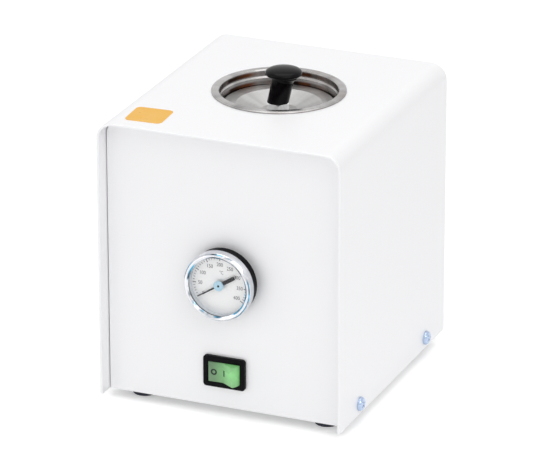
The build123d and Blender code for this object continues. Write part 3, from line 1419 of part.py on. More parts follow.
def make_brown_wires():
    """Inlet to switch, switch to thermostat, thermostat to band."""
    pins = INLET_BACK_Y - PIN_BACK
    pin_z = SOCKET_Z - PIN_OFFSET_Z
    blades = SWITCH_BACK_Y + BLADE_L
    left = SWITCH_X - SWITCH_BLADE_X
    high = SWITCH_MID_Z + SWITCH_BLADE_Z
    low = SWITCH_MID_Z - SWITCH_BLADE_Z
    floor = TRAY_TOP + WIRE_R
    box_front = THERMOSTAT_Y - THERMOSTAT_D / 2
    box_rear = THERMOSTAT_Y + THERMOSTAT_D / 2
    box_z = THERMOSTAT_Z + THERMOSTAT_H / 2
    lead_x = heater_lead_x(-1)
    feed = [
        (INLET_X - PIN_X, pins, pin_z),
        (INLET_X - PIN_X, pins - 7, pin_z),
        (INLET_X - PIN_X - 4, pins - 17, floor + 6),
        (left - 6, blades + 22, floor + 5),
        (left, blades + 8, high),
        (left, blades, high),
    ]
    link = [
        (left, blades, low),
        (left, blades + 7, low),
        (left - 9, blades + 8.5, low - 1.5),
        (left - 22, blades + 5, low - 0.5),
        (THERMOSTAT_X + 6, box_front - 10, box_z),
        (THERMOSTAT_X + 6, box_front, box_z),
    ]
    lead = [
        (THERMOSTAT_X + 4, box_rear, box_z),
        (THERMOSTAT_X + 4, box_rear + 7, box_z),
        (THERMOSTAT_X + 7.5, box_rear + 6, box_z + 11),
        (lead_x, WELL_Y, SHIELD_FOOT - 10),
        (lead_x, WELL_Y, BAND_Z0),
    ]
    return group([wire(points, WIRE_R) for points in (feed, link, lead)])


def make_blue_wires():
    """Inlet to switch, band to thermal fuse, thermal fuse to switch."""
    pins = INLET_BACK_Y - PIN_BACK
    pin_z = SOCKET_Z - PIN_OFFSET_Z
    blades = SWITCH_BACK_Y + BLADE_L
    right = SWITCH_X + SWITCH_BLADE_X
    high = SWITCH_MID_Z + SWITCH_BLADE_Z
    low = SWITCH_MID_Z - SWITCH_BLADE_Z
    floor = TRAY_TOP + WIRE_R
    lead_x = heater_lead_x(1)
    link_x, link_y, link_z = link_place()
    feed = [
        (INLET_X + PIN_X, pins, pin_z),
        (INLET_X + PIN_X, pins - 7, pin_z),
        (INLET_X + PIN_X + 4, pins - 17, floor + 7),
        (right + 6, blades + 22, floor + 4),
        (right, blades + 8, high),
        (right, blades, high),
    ]
    lead = [
        (lead_x, WELL_Y, BAND_Z0),
        (lead_x, WELL_Y, SHIELD_FOOT - 10),
        (link_x, link_y + 8.5, link_z),
        (link_x, link_y, link_z),
    ]
    back = [
        (link_x, link_y - LINK_L, link_z),
        (link_x, link_y - LINK_L - 7.5, link_z),
        (link_x - 11, link_y - LINK_L - 9.5, link_z - 4),
        (right + 9, blades + 8, low + 2),
        (right, blades + 7, low),
        (right, blades, low),
    ]
    return group([wire(points, WIRE_R) for points in (feed, lead, back)])


def make_earth_wire():
    """Inlet's middle pin to the crimp of the earth tag."""
    pins = INLET_BACK_Y - PIN_BACK
    earth_z = SOCKET_Z + PIN_OFFSET_Z
    crimp_y = EARTH_Y + EARTH_TAG_R + CRIMP_L
    points = [
        (INLET_X, pins, earth_z),
        (INLET_X, pins - 7, earth_z),
        (EARTH_X, crimp_y + 6, crimp_middle_z()),
        (EARTH_X, crimp_y, crimp_middle_z()),
    ]
    return wire(points, WIRE_R)


def make_thermal_fuse():
    """Thermal fuse in line with the right heater lead."""
    x, y1, z = link_place()
    return rod_y(LINK_R, y1 - LINK_L, y1, x, z)


def make_earth_stud():
    """Earth stud through the tray with its head below."""
    head = rod_z(EARTH_HEAD_R, TRAY_Z - EARTH_HEAD_H, TRAY_Z, EARTH_X, EARTH_Y)
    return head + rod_z(EARTH_R, TRAY_Z, TRAY_TOP + EARTH_L, EARTH_X, EARTH_Y)


def make_earth_tag():
    """Ring tag on the earth stud with the crimp for its wire."""
    z0 = TRAY_TOP
    y1 = EARTH_Y + EARTH_TAG_R
    half_w = CRIMP_W / 2
    tag = rod_z(EARTH_TAG_R, z0, z0 + EARTH_TAG_T, EARTH_X, EARTH_Y)
    tag += block(EARTH_X - half_w, EARTH_X + half_w, y1 - EARTH_TAG_T, y1 + CRIMP_L, z0, z0 + CRIMP_W)
    return tag - rod_z(EARTH_R + RUNNING_GAP, z0, z0 + EARTH_TAG_T, EARTH_X, EARTH_Y)


def make_earth_nut():
    """Nut on the earth stud."""
    z0 = TRAY_TOP + EARTH_TAG_T
    nut = hex_z(EARTH_NUT_AF, z0, z0 + EARTH_NUT_T, EARTH_X, EARTH_Y)
    return nut - rod_z(EARTH_R + RUNNING_GAP, z0, z0 + EARTH_NUT_T, EARTH_X, EARTH_Y)


def main():
    """Makes every piece and writes it to its file."""
    pieces = {
        "cover": make_cover(),
        "base_tray": tray_for_switch_and_inlet(make_tray()),
        "front_panel": make_front_panel(),
        "rear_panel": make_rear_panel(),
        "cover_screws": make_cover_screws(),
        "side_nuts": make_side_nuts(),
        "small_nuts": make_small_nuts(),
        "rubber_feet": make_feet(),
        "foot_screws": make_foot_screws(),
        "blank_label": make_blank_label(),
        "well_dish": make_well_dish(),
        "dish_screws": make_dish_screws(),
        "bead_cup": make_bead_cup(),
        "glass_beads": make_glass_beads(),
        "lid_plate": make_lid_plate(),
        "lid_stud": make_lid_stud(),
        "lid_nut": make_lid_nut(),
        "lid_knob": make_lid_knob(),
        "heating_block": make_heating_block(),
        "band_heater": make_band_heater(),
        "band_screw": make_band_screw(),
        "insulation_sleeve": make_sleeve(),
        "insulation_disc": make_insulation_disc(),
        "heat_shield": make_shield(),
        "shield_collar": make_shield_collar(),
        "lead_bushes": make_lead_bushes(),
        "standoffs": make_standoffs(),
        "standoff_screws": make_standoff_screws(),
        "gauge_case": make_gauge_case(),
        "gauge_bezel": make_gauge_bezel(),
        "gauge_glass": make_gauge_glass(),
        "gauge_dial": make_gauge_dial(),
        "gauge_pointer": make_gauge_pointer(),
        "pointer_hub": make_pointer_hub(),
        "gauge_spindle": make_gauge_spindle(),
        "thermometer_stem": make_thermometer_stem(),
        "bimetal_strip": make_bimetal_strip(),
        "gauge_nut": make_gauge_nut(),
        "switch_body": make_switch_body(),
        "switch_rocker": make_switch_rocker(),
        "switch_pivot": make_switch_pivot(),
        "switch_lamp": make_switch_lamp(),
        "switch_terminals": make_switch_terminals(),
        "inlet_body": make_inlet_body(),
        "inlet_pins": make_inlet_pins(),
        "inlet_screws": make_inlet_screws(),
        "fuse_drawer": make_fuse_drawer(),
        "fuses": make_fuses(),
        "thermostat": make_thermostat(),
        "thermostat_bracket": make_thermostat_bracket(),
        "thermostat_bulb": make_thermostat_bulb(),
        "capillary": make_capillary(),
        "thermal_fuse": make_thermal_fuse(),
        "earth_stud": make_earth_stud(),
        "earth_tag": make_earth_tag(),
        "earth_nut": make_earth_nut(),
        "brown_wires": make_brown_wires(),
        "blue_wires": make_blue_wires(),
        "earth_wire": make_earth_wire(),
    }
    os.makedirs("parts", exist_ok=True)
    for name, shape in pieces.items():
        export_step(shape, f"parts/{name}.step")


main()
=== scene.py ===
"""Looks of a bench-top glass bead sterilizer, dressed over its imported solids.

Shapes are made in millimetres and placed in metres, in the frame of the solids: +Z up, front towards -Y.
"""

import logging
import math
from dataclasses import dataclass, field
from enum import Enum
from typing import Callable, Iterable, Optional, Sequence, Union

import bmesh
import bpy
from mathutils import Matrix, Vector


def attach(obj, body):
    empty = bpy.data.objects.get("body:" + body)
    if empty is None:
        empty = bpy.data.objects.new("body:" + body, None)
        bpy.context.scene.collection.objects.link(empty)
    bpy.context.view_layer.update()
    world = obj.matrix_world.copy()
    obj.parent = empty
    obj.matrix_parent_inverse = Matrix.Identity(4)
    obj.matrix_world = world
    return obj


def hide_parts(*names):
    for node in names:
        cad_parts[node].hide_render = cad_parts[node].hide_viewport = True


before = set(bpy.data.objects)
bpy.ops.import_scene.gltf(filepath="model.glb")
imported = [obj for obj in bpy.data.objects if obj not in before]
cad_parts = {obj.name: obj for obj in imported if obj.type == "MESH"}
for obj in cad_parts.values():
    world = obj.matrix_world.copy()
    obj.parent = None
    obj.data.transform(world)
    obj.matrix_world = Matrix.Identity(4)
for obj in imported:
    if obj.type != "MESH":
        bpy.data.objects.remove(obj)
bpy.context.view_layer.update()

MM = 0.001
Colour = tuple[float, float, float]
Point2 = tuple[float, float]
Point3 = tuple[float, float, float]
Socket = bpy.types.NodeSocket
Feed = Union[Socket, float, int, tuple]
log = logging.getLogger("sterilizer")


class Body(Enum):
    """Rigid bodies that pieces ride on."""

    CASING = "casing"
    LID = "lid"
    ROCKER = "rocker"
    POINTER = "pointer"


class Texture(Enum):
    """Kinds of fine surface structure."""

    GRAIN = "grain"
    RINGS = "rings"
    STROKES = "strokes"


class Facing(Enum):
    """Direction that a turned piece's axis points in."""

    UP = "up"
    FRONT = "front"

    def matrix(self) -> Matrix:
        """Turn from the upright axis to this direction."""
        return Matrix.Rotation(math.pi / 2, 4, "X") if self is Facing.FRONT else Matrix.Identity(4)


class TreeMaker:
    """Short calls for building a node tree."""

    def __init__(self, tree: bpy.types.NodeTree) -> None:
        """Starts from an existing tree.

        Args:
            tree: The tree that gets the nodes.
        """
        self.tree = tree

    def node(self, kind: str, feeds: Optional[dict] = None, **settings: object) -> bpy.types.Node:
        """Adds a node.

        Args:
            kind: Type name of the node.
            feeds: Input name or index to a value or an output socket.
            **settings: Attributes of the node.

        Returns:
            The node.
        """
        made = self.tree.nodes.new(kind)
        for key, value in settings.items():
            setattr(made, key, value)
        for key, value in (feeds or {}).items():
            self.feed(made.inputs[key], value)
        return made

    def feed(self, target: Socket, value: Feed) -> None:
        """Links an output to an input, or writes a plain value on it.

        Args:
            target: Input socket.
            value: Output socket or value.
        """
        if isinstance(value, bpy.types.NodeSocket):
            self.tree.links.new(value, target)
        else:
            target.default_value = value

    def math(self, operation: str, first: Feed, second: Feed = 0.0) -> Socket:
        """Adds a Math node.

        Args:
            operation: Name of the operation.
            first: First input.
            second: Second input.

        Returns:
            The result.
        """
        return self.node("ShaderNodeMath", {0: first, 1: second}, operation=operation).outputs[0]

    def spread(self, value: Feed, low: Feed, high: Feed, start: float = 0.3, end: float = 0.7) -> Socket:
        """Maps a noise value to a range.

        Args:
            value: Value to map.
            low: Result at the start.
            high: Result at the end.
            start: Value that gives the low result.
            end: Value that gives the high result.

        Returns:
            The mapped value.
        """
        feeds = {"Value": value, "From Min": start, "From Max": end, "To Min": low, "To Max": high}
        return self.node("ShaderNodeMapRange", feeds).outputs[0]

    def blend(self, share: Feed, first: Feed, second: Feed) -> Socket:
        """Mixes two colours.

        Args:
            share: Share of the second colour.
            first: First colour.
            second: Second colour.

        Returns:
            The mixed colour.
        """
        mix = self.node("ShaderNodeMix", data_type="RGBA")
        self.feed(mix.inputs["Factor"], share)
        for socket, value in ((mix.inputs[6], first), (mix.inputs[7], second)):
            self.feed(socket, (*value, 1.0) if isinstance(value, tuple) else value)
        return mix.outputs[2]


class SharedEffects:
    """Node groups that more than one finish uses, each built once."""

    def __init__(self) -> None:
        """Starts with no group built."""
        self._made: dict[str, bpy.types.NodeTree] = {}

    def _group(self, name: str, inputs: Sequence[tuple], outputs: Sequence[tuple], fill: Callable) -> bpy.types.NodeTree:
        """Builds a group on its first use.

        Args:
            name: Name of the group.
            inputs: Name, socket type and default of each input.
            outputs: Name and socket type of each output.
            fill: Function that takes the maker and the input node and returns the outputs' sources.

        Returns:
            The group.
        """
        if name not in self._made:
            tree = bpy.data.node_groups.new(name, "ShaderNodeTree")
            for label, kind, default in inputs:
                socket = tree.interface.new_socket(name=label, in_out="INPUT", socket_type=kind)
                if default is not None:
                    socket.default_value = default
            for label, kind in outputs:
                tree.interface.new_socket(name=label, in_out="OUTPUT", socket_type=kind)
            maker = TreeMaker(tree)
            entry = maker.node("NodeGroupInput")
            leave = maker.node("NodeGroupOutput")
            for (label, _), source in zip(outputs, fill(maker, entry)):
                maker.feed(leave.inputs[label], source)
            self._made[name] = tree
        return self._made[name]

    def structure(self, texture: Texture) -> bpy.types.NodeTree:
        """Group that gives height, roughness and shade of a surface; on turned rings the shade is a painted reflection.

        Args:
            texture: Kind of structure.

        Returns:
            The group.
        """
        inputs = (
            ("Place", "NodeSocketVector", None),
            ("Density", "NodeSocketFloat", 1000.0),
            ("Rough Low", "NodeSocketFloat", 0.3),
            ("Rough High", "NodeSocketFloat", 0.5),
        )
        outputs = (
            ("Height", "NodeSocketFloat"),
            ("Roughness", "NodeSocketFloat"),
            ("Shade", "NodeSocketFloat"),
        )
        fills = {Texture.GRAIN: self._grain, Texture.RINGS: self._rings, Texture.STROKES: self._strokes}
        return self._group(f"surface_{texture.value}", inputs, outputs, fills[texture])

    @staticmethod
    def _noise(maker: TreeMaker, place: Socket, scale: Feed, detail: float = 2.0) -> Socket:
        """Adds a three-dimensional noise and returns its value."""
        return maker.node("ShaderNodeTexNoise", {"Vector": place, "Scale": scale, "Detail": detail}).outputs[0]

    def _grain(self, maker: TreeMaker, entry: bpy.types.Node) -> tuple[Socket, Socket, Socket]:
        """Even grain, as on powder coat or moulded plastic."""
        place, density, low, high = entry.outputs[:4]
        fine = self._noise(maker, place, density, 3.0)
        patch = self._noise(maker, place, maker.math("MULTIPLY", density, 0.12))
        broad = self._noise(maker, place, maker.math("MULTIPLY", density, 0.02), 4.0)
        return fine, maker.spread(patch, low, high), maker.spread(broad, 0.0, 1.0)

    def _rings(self, maker: TreeMaker, entry: bpy.types.Node) -> tuple[Socket, Socket, Socket]:
        """Fine turning marks round the local upright axis, with broad streaks of painted reflection across them."""
        place, density, low, high = entry.outputs[:4]
        parts = maker.node("ShaderNodeSeparateXYZ", {0: place}).outputs
        flat = maker.node("ShaderNodeCombineXYZ", {0: parts[0], 1: parts[1]}).outputs[0]
        radius = maker.node("ShaderNodeVectorMath", {0: flat}, operation="LENGTH").outputs["Value"]
        pitch = maker.math("MULTIPLY", radius, density)
        marks = maker.node("ShaderNodeTexNoise", {"W": pitch, "Scale": 1.0}, noise_dimensions="1D").outputs[0]
        unit = maker.node("ShaderNodeVectorMath", {0: flat}, operation="NORMALIZE").outputs[0]
        # painted reflection: noise by direction round the axis lightens and darkens the colour like the sheen of turned
        # metal
        painted_sheen = self._noise(maker, unit, 2.2)
        slow = maker.math("MULTIPLY", pitch, 0.15)
        broad = maker.node("ShaderNodeTexNoise", {"W": slow, "Scale": 1.0}, noise_dimensions="1D").outputs[0]
        return marks, maker.spread(broad, low, high), maker.spread(painted_sheen, 0.0, 1.0)

    def _strokes(self, maker: TreeMaker, entry: bpy.types.Node) -> tuple[Socket, Socket, Socket]:
        """Long fine lines along the local X axis, as on rolled sheet."""
        place, density, low, high = entry.outputs[:4]
        feeds = {0: place, 1: (0.04, 1.0, 1.0)}
        drawn = maker.node("ShaderNodeVectorMath", feeds, operation="MULTIPLY").outputs[0]
        fine = self._noise(maker, drawn, density, 3.0)
        patch = self._noise(maker, drawn, maker.math("MULTIPLY", density, 0.2))
        broad = self._noise(maker, place, maker.math("MULTIPLY", density, 0.03))
        return fine, maker.spread(patch, low, high), maker.spread(broad, 0.0, 1.0)

    def marks(self) -> bpy.types.NodeTree:
        """Group that gives a mask of sparse finger and wipe marks."""
        inputs = (
            ("Place", "NodeSocketVector", None),
            ("Density", "NodeSocketFloat", 30.0),
            ("Amount", "NodeSocketFloat", 0.2),
        )
        return self._group("handling_marks", inputs, (("Mask", "NodeSocketFloat"),), self._fill_marks)

    def _fill_marks(self, maker: TreeMaker, entry: bpy.types.Node) -> tuple[Socket]:
        """Soft-edged islands of a warped noise."""
        place, density, amount = entry.outputs[:3]
        broad = self._noise(maker, place, density, 5.0)
        cover = maker.spread(broad, 0.0, 1.0, 0.52, 0.75)
        return (maker.math("MULTIPLY", cover, amount),)

    def inside(self) -> bpy.types.NodeTree:
        """Group that gives a mask of what lies within a radius of the local upright axis."""
        inputs = (("Place", "NodeSocketVector", None), ("Radius", "NodeSocketFloat", 0.01))
        return self._group("inside_radius", inputs, (("Mask", "NodeSocketFloat"),), self._fill_inside)

    def _fill_inside(self, maker: TreeMaker, entry: bpy.types.Node) -> tuple[Socket]:
        """Compares the distance to the axis with the radius."""
        parts = maker.node("ShaderNodeSeparateXYZ", {0: entry.outputs[0]}).outputs
        flat = maker.node("ShaderNodeCombineXYZ", {0: parts[0], 1: parts[1]}).outputs[0]
        radius = maker.node("ShaderNodeVectorMath", {0: flat}, operation="LENGTH").outputs["Value"]
        return (maker.math("LESS_THAN", radius, entry.outputs[1]),)

    def painted_reflection_bands(self) -> bpy.types.NodeTree:
        """Group that gives a mask of two level bands of painted reflection and shade that come and go round the axis.
        """
        inputs = (
            ("Place", "NodeSocketVector", None),
            ("Upper", "NodeSocketFloat", 0.138),
            ("Lower", "NodeSocketFloat", 0.134),
            ("Half", "NodeSocketFloat", 0.001),
            ("Least", "NodeSocketFloat", 0.5),
        )
        outputs = (("Mask", "NodeSocketFloat"), ("Reflection Tint", "NodeSocketFloat"))
        return self._group("painted_reflection_bands", inputs, outputs, self._fill_bands)

    def _fill_bands(self, maker: TreeMaker, entry: bpy.types.Node) -> tuple[Socket, Socket]:
        """Soft level bands of painted reflection and shade whose strength follows a noise round the axis."""
        place, upper, lower, half, least = entry.outputs[:5]
        parts = maker.node("ShaderNodeSeparateXYZ", {0: place}).outputs
        flat = maker.node("ShaderNodeCombineXYZ", {0: parts[0], 1: parts[1]}).outputs[0]
        unit = maker.node("ShaderNodeVectorMath", {0: flat}, operation="NORMALIZE").outputs[0]
        strength = maker.spread(self._noise(maker, unit, 1.7), least, 1.0, 0.4, 0.52)
        bands = []
        for level in (upper, lower):
            away = maker.math("ABSOLUTE", maker.math("SUBTRACT", parts[2], level))
            near = maker.math("SUBTRACT", 1.6, maker.math("MULTIPLY", maker.math("DIVIDE", away, half), 1.6))
            bands.append(maker.math("MINIMUM", maker.math("MAXIMUM", near, 0.0), 1.0))
        mask = maker.math("MULTIPLY", maker.math("MAXIMUM", bands[0], bands[1]), strength)
        # share between the dark and the tint of the painted reflection, by direction round the axis
        reflection_tint_share = maker.spread(self._noise(maker, unit, 3.1), 0.0, 1.0, 0.4, 0.62)
        return mask, reflection_tint_share

    def lamp_glow(self) -> bpy.types.NodeTree:
        """Group that gives how near a point is to the lamp behind it."""
        inputs = (("Place", "NodeSocketVector", None), ("Reach", "NodeSocketFloat", 0.01))
        return self._group("lamp_glow", inputs, (("Glow", "NodeSocketFloat"),), self._fill_glow)

    def _fill_glow(self, maker: TreeMaker, entry: bpy.types.Node) -> tuple[Socket]:
        """Fades from the lamp outwards, with the cloudiness of moulded plastic."""
        away = maker.node("ShaderNodeVectorMath", {0: entry.outputs[0]}, operation="LENGTH").outputs["Value"]
        near = maker.math("SUBTRACT", 1.0, maker.math("DIVIDE", away, entry.outputs[1]))
        cloud = maker.spread(self._noise(maker, entry.outputs[0], 420.0), 0.82, 1.0)
        return (maker.math("MULTIPLY", maker.math("MAXIMUM", near, 0.0), cloud),)


EFFECTS = SharedEffects()


@dataclass(frozen=True)
class Finish:
    """A surface finish: two shades of a colour, its fine structure and its gloss."""

    name: str
    dark: Colour
    light: Colour
    texture: Texture = Texture.GRAIN
    density: float = 1500.0
    rough: Point2 = (0.35, 0.5)
    bump: float = 0.15
    depth_mm: float = 0.05
    metallic: float = 0.0
    coat: float = 0.0
    coat_rough: float = 0.05
    specular: float = 0.5
    transmission: float = 0.0
    ior: float = 1.5
    sheen: float = 0.0
    centre: Point3 = (0.0, 0.0, 0.0)
    facing: Facing = Facing.UP
    soil: Colour = (0.3, 0.28, 0.25)
    marks: float = 0.0
    marks_density: float = 30.0
    inner: Optional[Colour] = None
    inner_radius: float = 0.0
    # painted reflection and shade: dark colour and tint of two level bands, their levels and half width in mm, and
    # their least strength round the axis
    painted_reflection_dark: Optional[Colour] = None
    painted_reflection_tint: Colour = (0.3, 0.12, 0.05)
    painted_reflection_levels: Point2 = (0.0, 0.0)
    painted_reflection_half: float = 1.0
    painted_reflection_least: float = 0.5
    alpha: float = 1.0
    glow: Optional[Colour] = None
    glow_strength: float = 0.0
    glow_reach: float = 10.0

    def material(self) -> bpy.types.Material:
        """The finish's material, built on its first use."""
        return bpy.data.materials.get(self.name) or self._build()

    def _build(self) -> bpy.types.Material:
        """Builds the material.

        Returns:
            The new material.
        """
        made = bpy.data.materials.new(self.name)
        made.use_nodes = True
        made.node_tree.nodes.clear()
        maker = TreeMaker(made.node_tree)
        place = self._place(maker)
        feeds = {"Place": place, "Density": self.density, "Rough Low": self.rough[0], "Rough High": self.rough[1]}
        surface = maker.node("ShaderNodeGroup", node_tree=EFFECTS.structure(self.texture))
        for key, value in feeds.items():
            maker.feed(surface.inputs[key], value)
        # the shade is random tone, and on turned rings a painted reflection
        colour = maker.blend(surface.outputs["Shade"], self.dark, self.light)
        roughness = surface.outputs["Roughness"]
        if self.inner is not None:
            within = maker.node("ShaderNodeGroup", node_tree=EFFECTS.inside())
            maker.feed(within.inputs["Place"], place)
            maker.feed(within.inputs["Radius"], self.inner_radius * MM)
            colour = maker.blend(within.outputs["Mask"], colour, self.inner)
        # painted reflection and shade: dark and tinted bands at two levels
        if self.painted_reflection_dark is not None:
            bands = maker.node("ShaderNodeGroup", node_tree=EFFECTS.painted_reflection_bands())
            maker.feed(bands.inputs["Place"], place)
            maker.feed(bands.inputs["Upper"], self.painted_reflection_levels[0] * MM)
            maker.feed(bands.inputs["Lower"], self.painted_reflection_levels[1] * MM)
            maker.feed(bands.inputs["Half"], self.painted_reflection_half * MM)
            maker.feed(bands.inputs["Least"], self.painted_reflection_least)
            painted_reflection_colour = maker.blend(bands.outputs["Reflection Tint"], self.painted_reflection_dark, self.painted_reflection_tint)
            colour = maker.blend(bands.outputs["Mask"], colour, painted_reflection_colour)
        if self.marks:
            worn = maker.node("ShaderNodeGroup", node_tree=EFFECTS.marks())
            maker.feed(worn.inputs["Place"], place)
            maker.feed(worn.inputs["Density"], self.marks_density)
            maker.feed(worn.inputs["Amount"], self.marks)
            colour = maker.blend(worn.outputs["Mask"], colour, self.soil)
            roughness = maker.math("ADD", roughness, maker.math("MULTIPLY", worn.outputs["Mask"], 0.3))
        shader = maker.node("ShaderNodeBsdfPrincipled", {"Base Color": colour, "Roughness": roughness})
        if self.bump:
            feeds = {"Strength": self.bump, "Distance": self.depth_mm * MM, "Height": surface.outputs["Height"]}
            maker.feed(shader.inputs["Normal"], maker.node("ShaderNodeBump", feeds).outputs[0])
        self._plain_numbers(shader)
        if self.glow is not None:
            self._light_up(maker, shader, place)
        leave = maker.node("ShaderNodeOutputMaterial")
        maker.feed(leave.inputs["Surface"], shader.outputs[0])
        return made

    def _place(self, maker: TreeMaker) -> Socket:
        """Object coordinates with the finish's centre at zero and its axis upright."""
        source = maker.node("ShaderNodeTexCoord").outputs["Object"]
        turn = (-math.pi / 2, 0.0, 0.0) if self.facing is Facing.FRONT else (0.0, 0.0, 0.0)
        centred = maker.node(
            "ShaderNodeVectorMath", {0: source, 1: tuple(c * MM for c in self.centre)}, operation="SUBTRACT"
        ).outputs[0]
        return maker.node("ShaderNodeMapping", {"Vector": centred, "Rotation": turn}).outputs[0]

    def _plain_numbers(self, shader: bpy.types.Node) -> None:
        """Writes the numbers that are the same all over the surface.

        Args:
            shader: The Principled node.
        """
        numbers = {
            "Metallic": self.metallic,
            "Coat Weight": self.coat,
            "Coat Roughness": self.coat_rough,
            "Specular IOR Level": self.specular,
            "Transmission Weight": self.transmission,
            "IOR": self.ior,
            "Sheen Weight": self.sheen,
            "Alpha": self.alpha,
        }
        for key, value in numbers.items():
            shader.inputs[key].default_value = value

    def _light_up(self, maker: TreeMaker, shader: bpy.types.Node, place: Socket) -> None:
        """Adds the glow of a lamp behind the surface.

        Args:
            maker: Maker of the material's tree.
            shader: The Principled node.
            place: Centred coordinates.
        """
        lamp = maker.node("ShaderNodeGroup", node_tree=EFFECTS.lamp_glow())
        maker.feed(lamp.inputs["Place"], place)
        maker.feed(lamp.inputs["Reach"], self.glow_reach * MM)
        shade = maker.blend(lamp.outputs["Glow"], (0.0, 0.0, 0.0), self.glow)
        maker.feed(shader.inputs["Emission Color"], shade)
        shader.inputs["Emission Strength"].default_value = self.glow_strength


WELL_AXIS: Point3 = (1.0, 3.0, 0.0)
DIAL_AXIS: Point3 = (0.0, -59.0, 67.9)
POWDER_COAT = Finish(
    "white_powder_coat",
    (0.83, 0.835, 0.85),
    (0.86, 0.865, 0.875),
    density=1400.0,
    rough=(0.34, 0.46),
    bump=0.12,
    depth_mm=0.06,
    specular=0.45,
    soil=(0.7, 0.69, 0.67),
    marks=0.05,
)
INNER_COAT = Finish(
    "thin_white_coat", (0.74, 0.75, 0.77), (0.8, 0.81, 0.82), density=1400.0, rough=(0.45, 0.6), bump=0.2
)
BLUE_ZINC = Finish(
    "blue_zinc",
    (0.02, 0.1, 0.42),
    (0.2, 0.4, 0.82),
    density=2500.0,
    rough=(0.18, 0.34),
    metallic=1.0,
    bump=0.1,
    soil=(0.55, 0.5, 0.35),
    marks=0.3,
    marks_density=500.0,
)
ZINC = Finish(
    "zinc_plate", (0.6, 0.61, 0.63), (0.74, 0.75, 0.77), density=2500.0, rough=(0.25, 0.4), metallic=1.0, bump=0.1
)
RUBBER = Finish(
    "foot_rubber",
    (0.006, 0.01, 0.05),
    (0.012, 0.02, 0.09),
    density=2600.0,
    rough=(0.55, 0.75),
    bump=0.3,
    specular=0.25,
)
AMBER_FILM = Finish(
    "amber_film",
    (0.86, 0.42, 0.02),
    (0.93, 0.52, 0.04),
    density=900.0,
    rough=(0.25, 0.4),
    bump=0.0,
)
# turned rings: the dark and light shades follow painted reflection streaks round the axis
SPUN_DISH = Finish(
    "spun_dish",
    (0.26, 0.25, 0.25),
    (0.56, 0.55, 0.545),
    Texture.RINGS,
    density=5200.0,
    rough=(0.14, 0.3),
    metallic=1.0,
    bump=0.1,
    depth_mm=0.02,
    centre=WELL_AXIS,
    soil=(0.2, 0.13, 0.08),
    marks=0.3,
    marks_density=60.0,
    # painted shade and dark brown reflection in bands on the wall just under the flange and low on the wall near the
    # floor
    painted_reflection_dark=(0.008, 0.006, 0.006),
    painted_reflection_tint=(0.13, 0.045, 0.018),
    painted_reflection_levels=(138.5, 134.0),
    painted_reflection_half=1.5,
)
# turned rings: the dark and light shades follow painted reflection streaks round the axis
SATIN_LID = Finish(
    "satin_lid",
    (0.4, 0.395, 0.39),
    (0.58, 0.58, 0.575),
    Texture.RINGS,
    density=6500.0,
    rough=(0.28, 0.4),
    metallic=1.0,
    bump=0.16,
    depth_mm=0.02,
    centre=WELL_AXIS,
    soil=(0.22, 0.2, 0.18),
    marks=0.3,
    marks_density=70.0,
)
BRIGHT_STEEL = Finish(
    "bright_steel",
    (0.7, 0.7, 0.73),
    (0.86, 0.86, 0.88),
    density=2200.0,
    rough=(0.1, 0.22),
    metallic=1.0,
    bump=0.06,
    soil=(0.4, 0.4, 0.45),
    marks=0.2,
    marks_density=300.0,
)
# turned rings: the dark and light shades follow painted reflection streaks round the axis
BEZEL_STEEL = Finish(
    "polished_bezel",
    (0.6, 0.63, 0.67),
    (0.9, 0.88, 0.9),
    Texture.RINGS,
    density=4200.0,
    rough=(0.05, 0.12),
    metallic=1.0,
    bump=0.04,
    depth_mm=0.02,
    centre=DIAL_AXIS,
    facing=Facing.FRONT,
    soil=(0.4, 0.42, 0.46),
    marks=0.12,
    marks_density=90.0,
    # painted reflection: dark and cyan arcs at the crest and the rear rim
    painted_reflection_dark=(0.02, 0.02, 0.03),
    painted_reflection_tint=(0.08, 0.42, 0.66),
    painted_reflection_levels=(9.3, 5.15),
    painted_reflection_half=0.42,
    painted_reflection_least=0.0,
)
BLACK_GLOSS = Finish(
    "black_gloss_knob",
    (0.002, 0.0015, 0.002),
    (0.005, 0.004, 0.005),
    density=900.0,
    rough=(0.12, 0.22),
    bump=0.05,
    specular=0.09,
    soil=(0.03, 0.026, 0.03),
    marks=0.15,
    marks_density=160.0,
)
CASE_BLACK = Finish(
    "gauge_case_black",
    (0.003, 0.003, 0.004),
    (0.008, 0.008, 0.01),
    density=2500.0,
    rough=(0.35, 0.5),
    bump=0.2,
    specular=0.05,
    centre=DIAL_AXIS,
    facing=Facing.FRONT,
    inner=(0.62, 0.66, 0.7),
    inner_radius=14.5,
)
SWITCH_BLACK = Finish(
    "moulded_black",
    (0.002, 0.002, 0.003),
    (0.006, 0.006, 0.007),
    density=3200.0,
    rough=(0.25, 0.4),
    bump=0.12,
    specular=0.07,
)
WINDOW = Finish(
    "clear_window",
    (0.97, 0.985, 0.99),
    (1.0, 1.0, 1.0),
    density=60.0,
    rough=(0.0, 0.03),
    bump=0.0,
    alpha=0.035,
)
BEAD_GLASS = Finish(
    "bead_glass",
    (0.72, 0.75, 0.76),
    (0.9, 0.92, 0.92),
    density=900.0,
    rough=(0.05, 0.16),
    bump=0.05,
    transmission=0.55,
    ior=1.5,
    soil=(0.55, 0.48, 0.36),
    marks=0.35,
    marks_density=140.0,
)
DIAL_WHITE = Finish(
    "dial_white", (0.9, 0.9, 0.9), (0.94, 0.94, 0.94), density=2000.0, rough=(0.45, 0.6), bump=0.06
)
INK_BLACK = Finish(
    "ink_black", (0.002, 0.002, 0.006), (0.006, 0.006, 0.012), density=3000.0, rough=(0.5, 0.65), bump=0.1, specular=0.05
)
INK_GREY = Finish("ink_grey", (0.05, 0.055, 0.065), (0.1, 0.105, 0.12), density=3000.0, rough=(0.5, 0.65), bump=0.1)
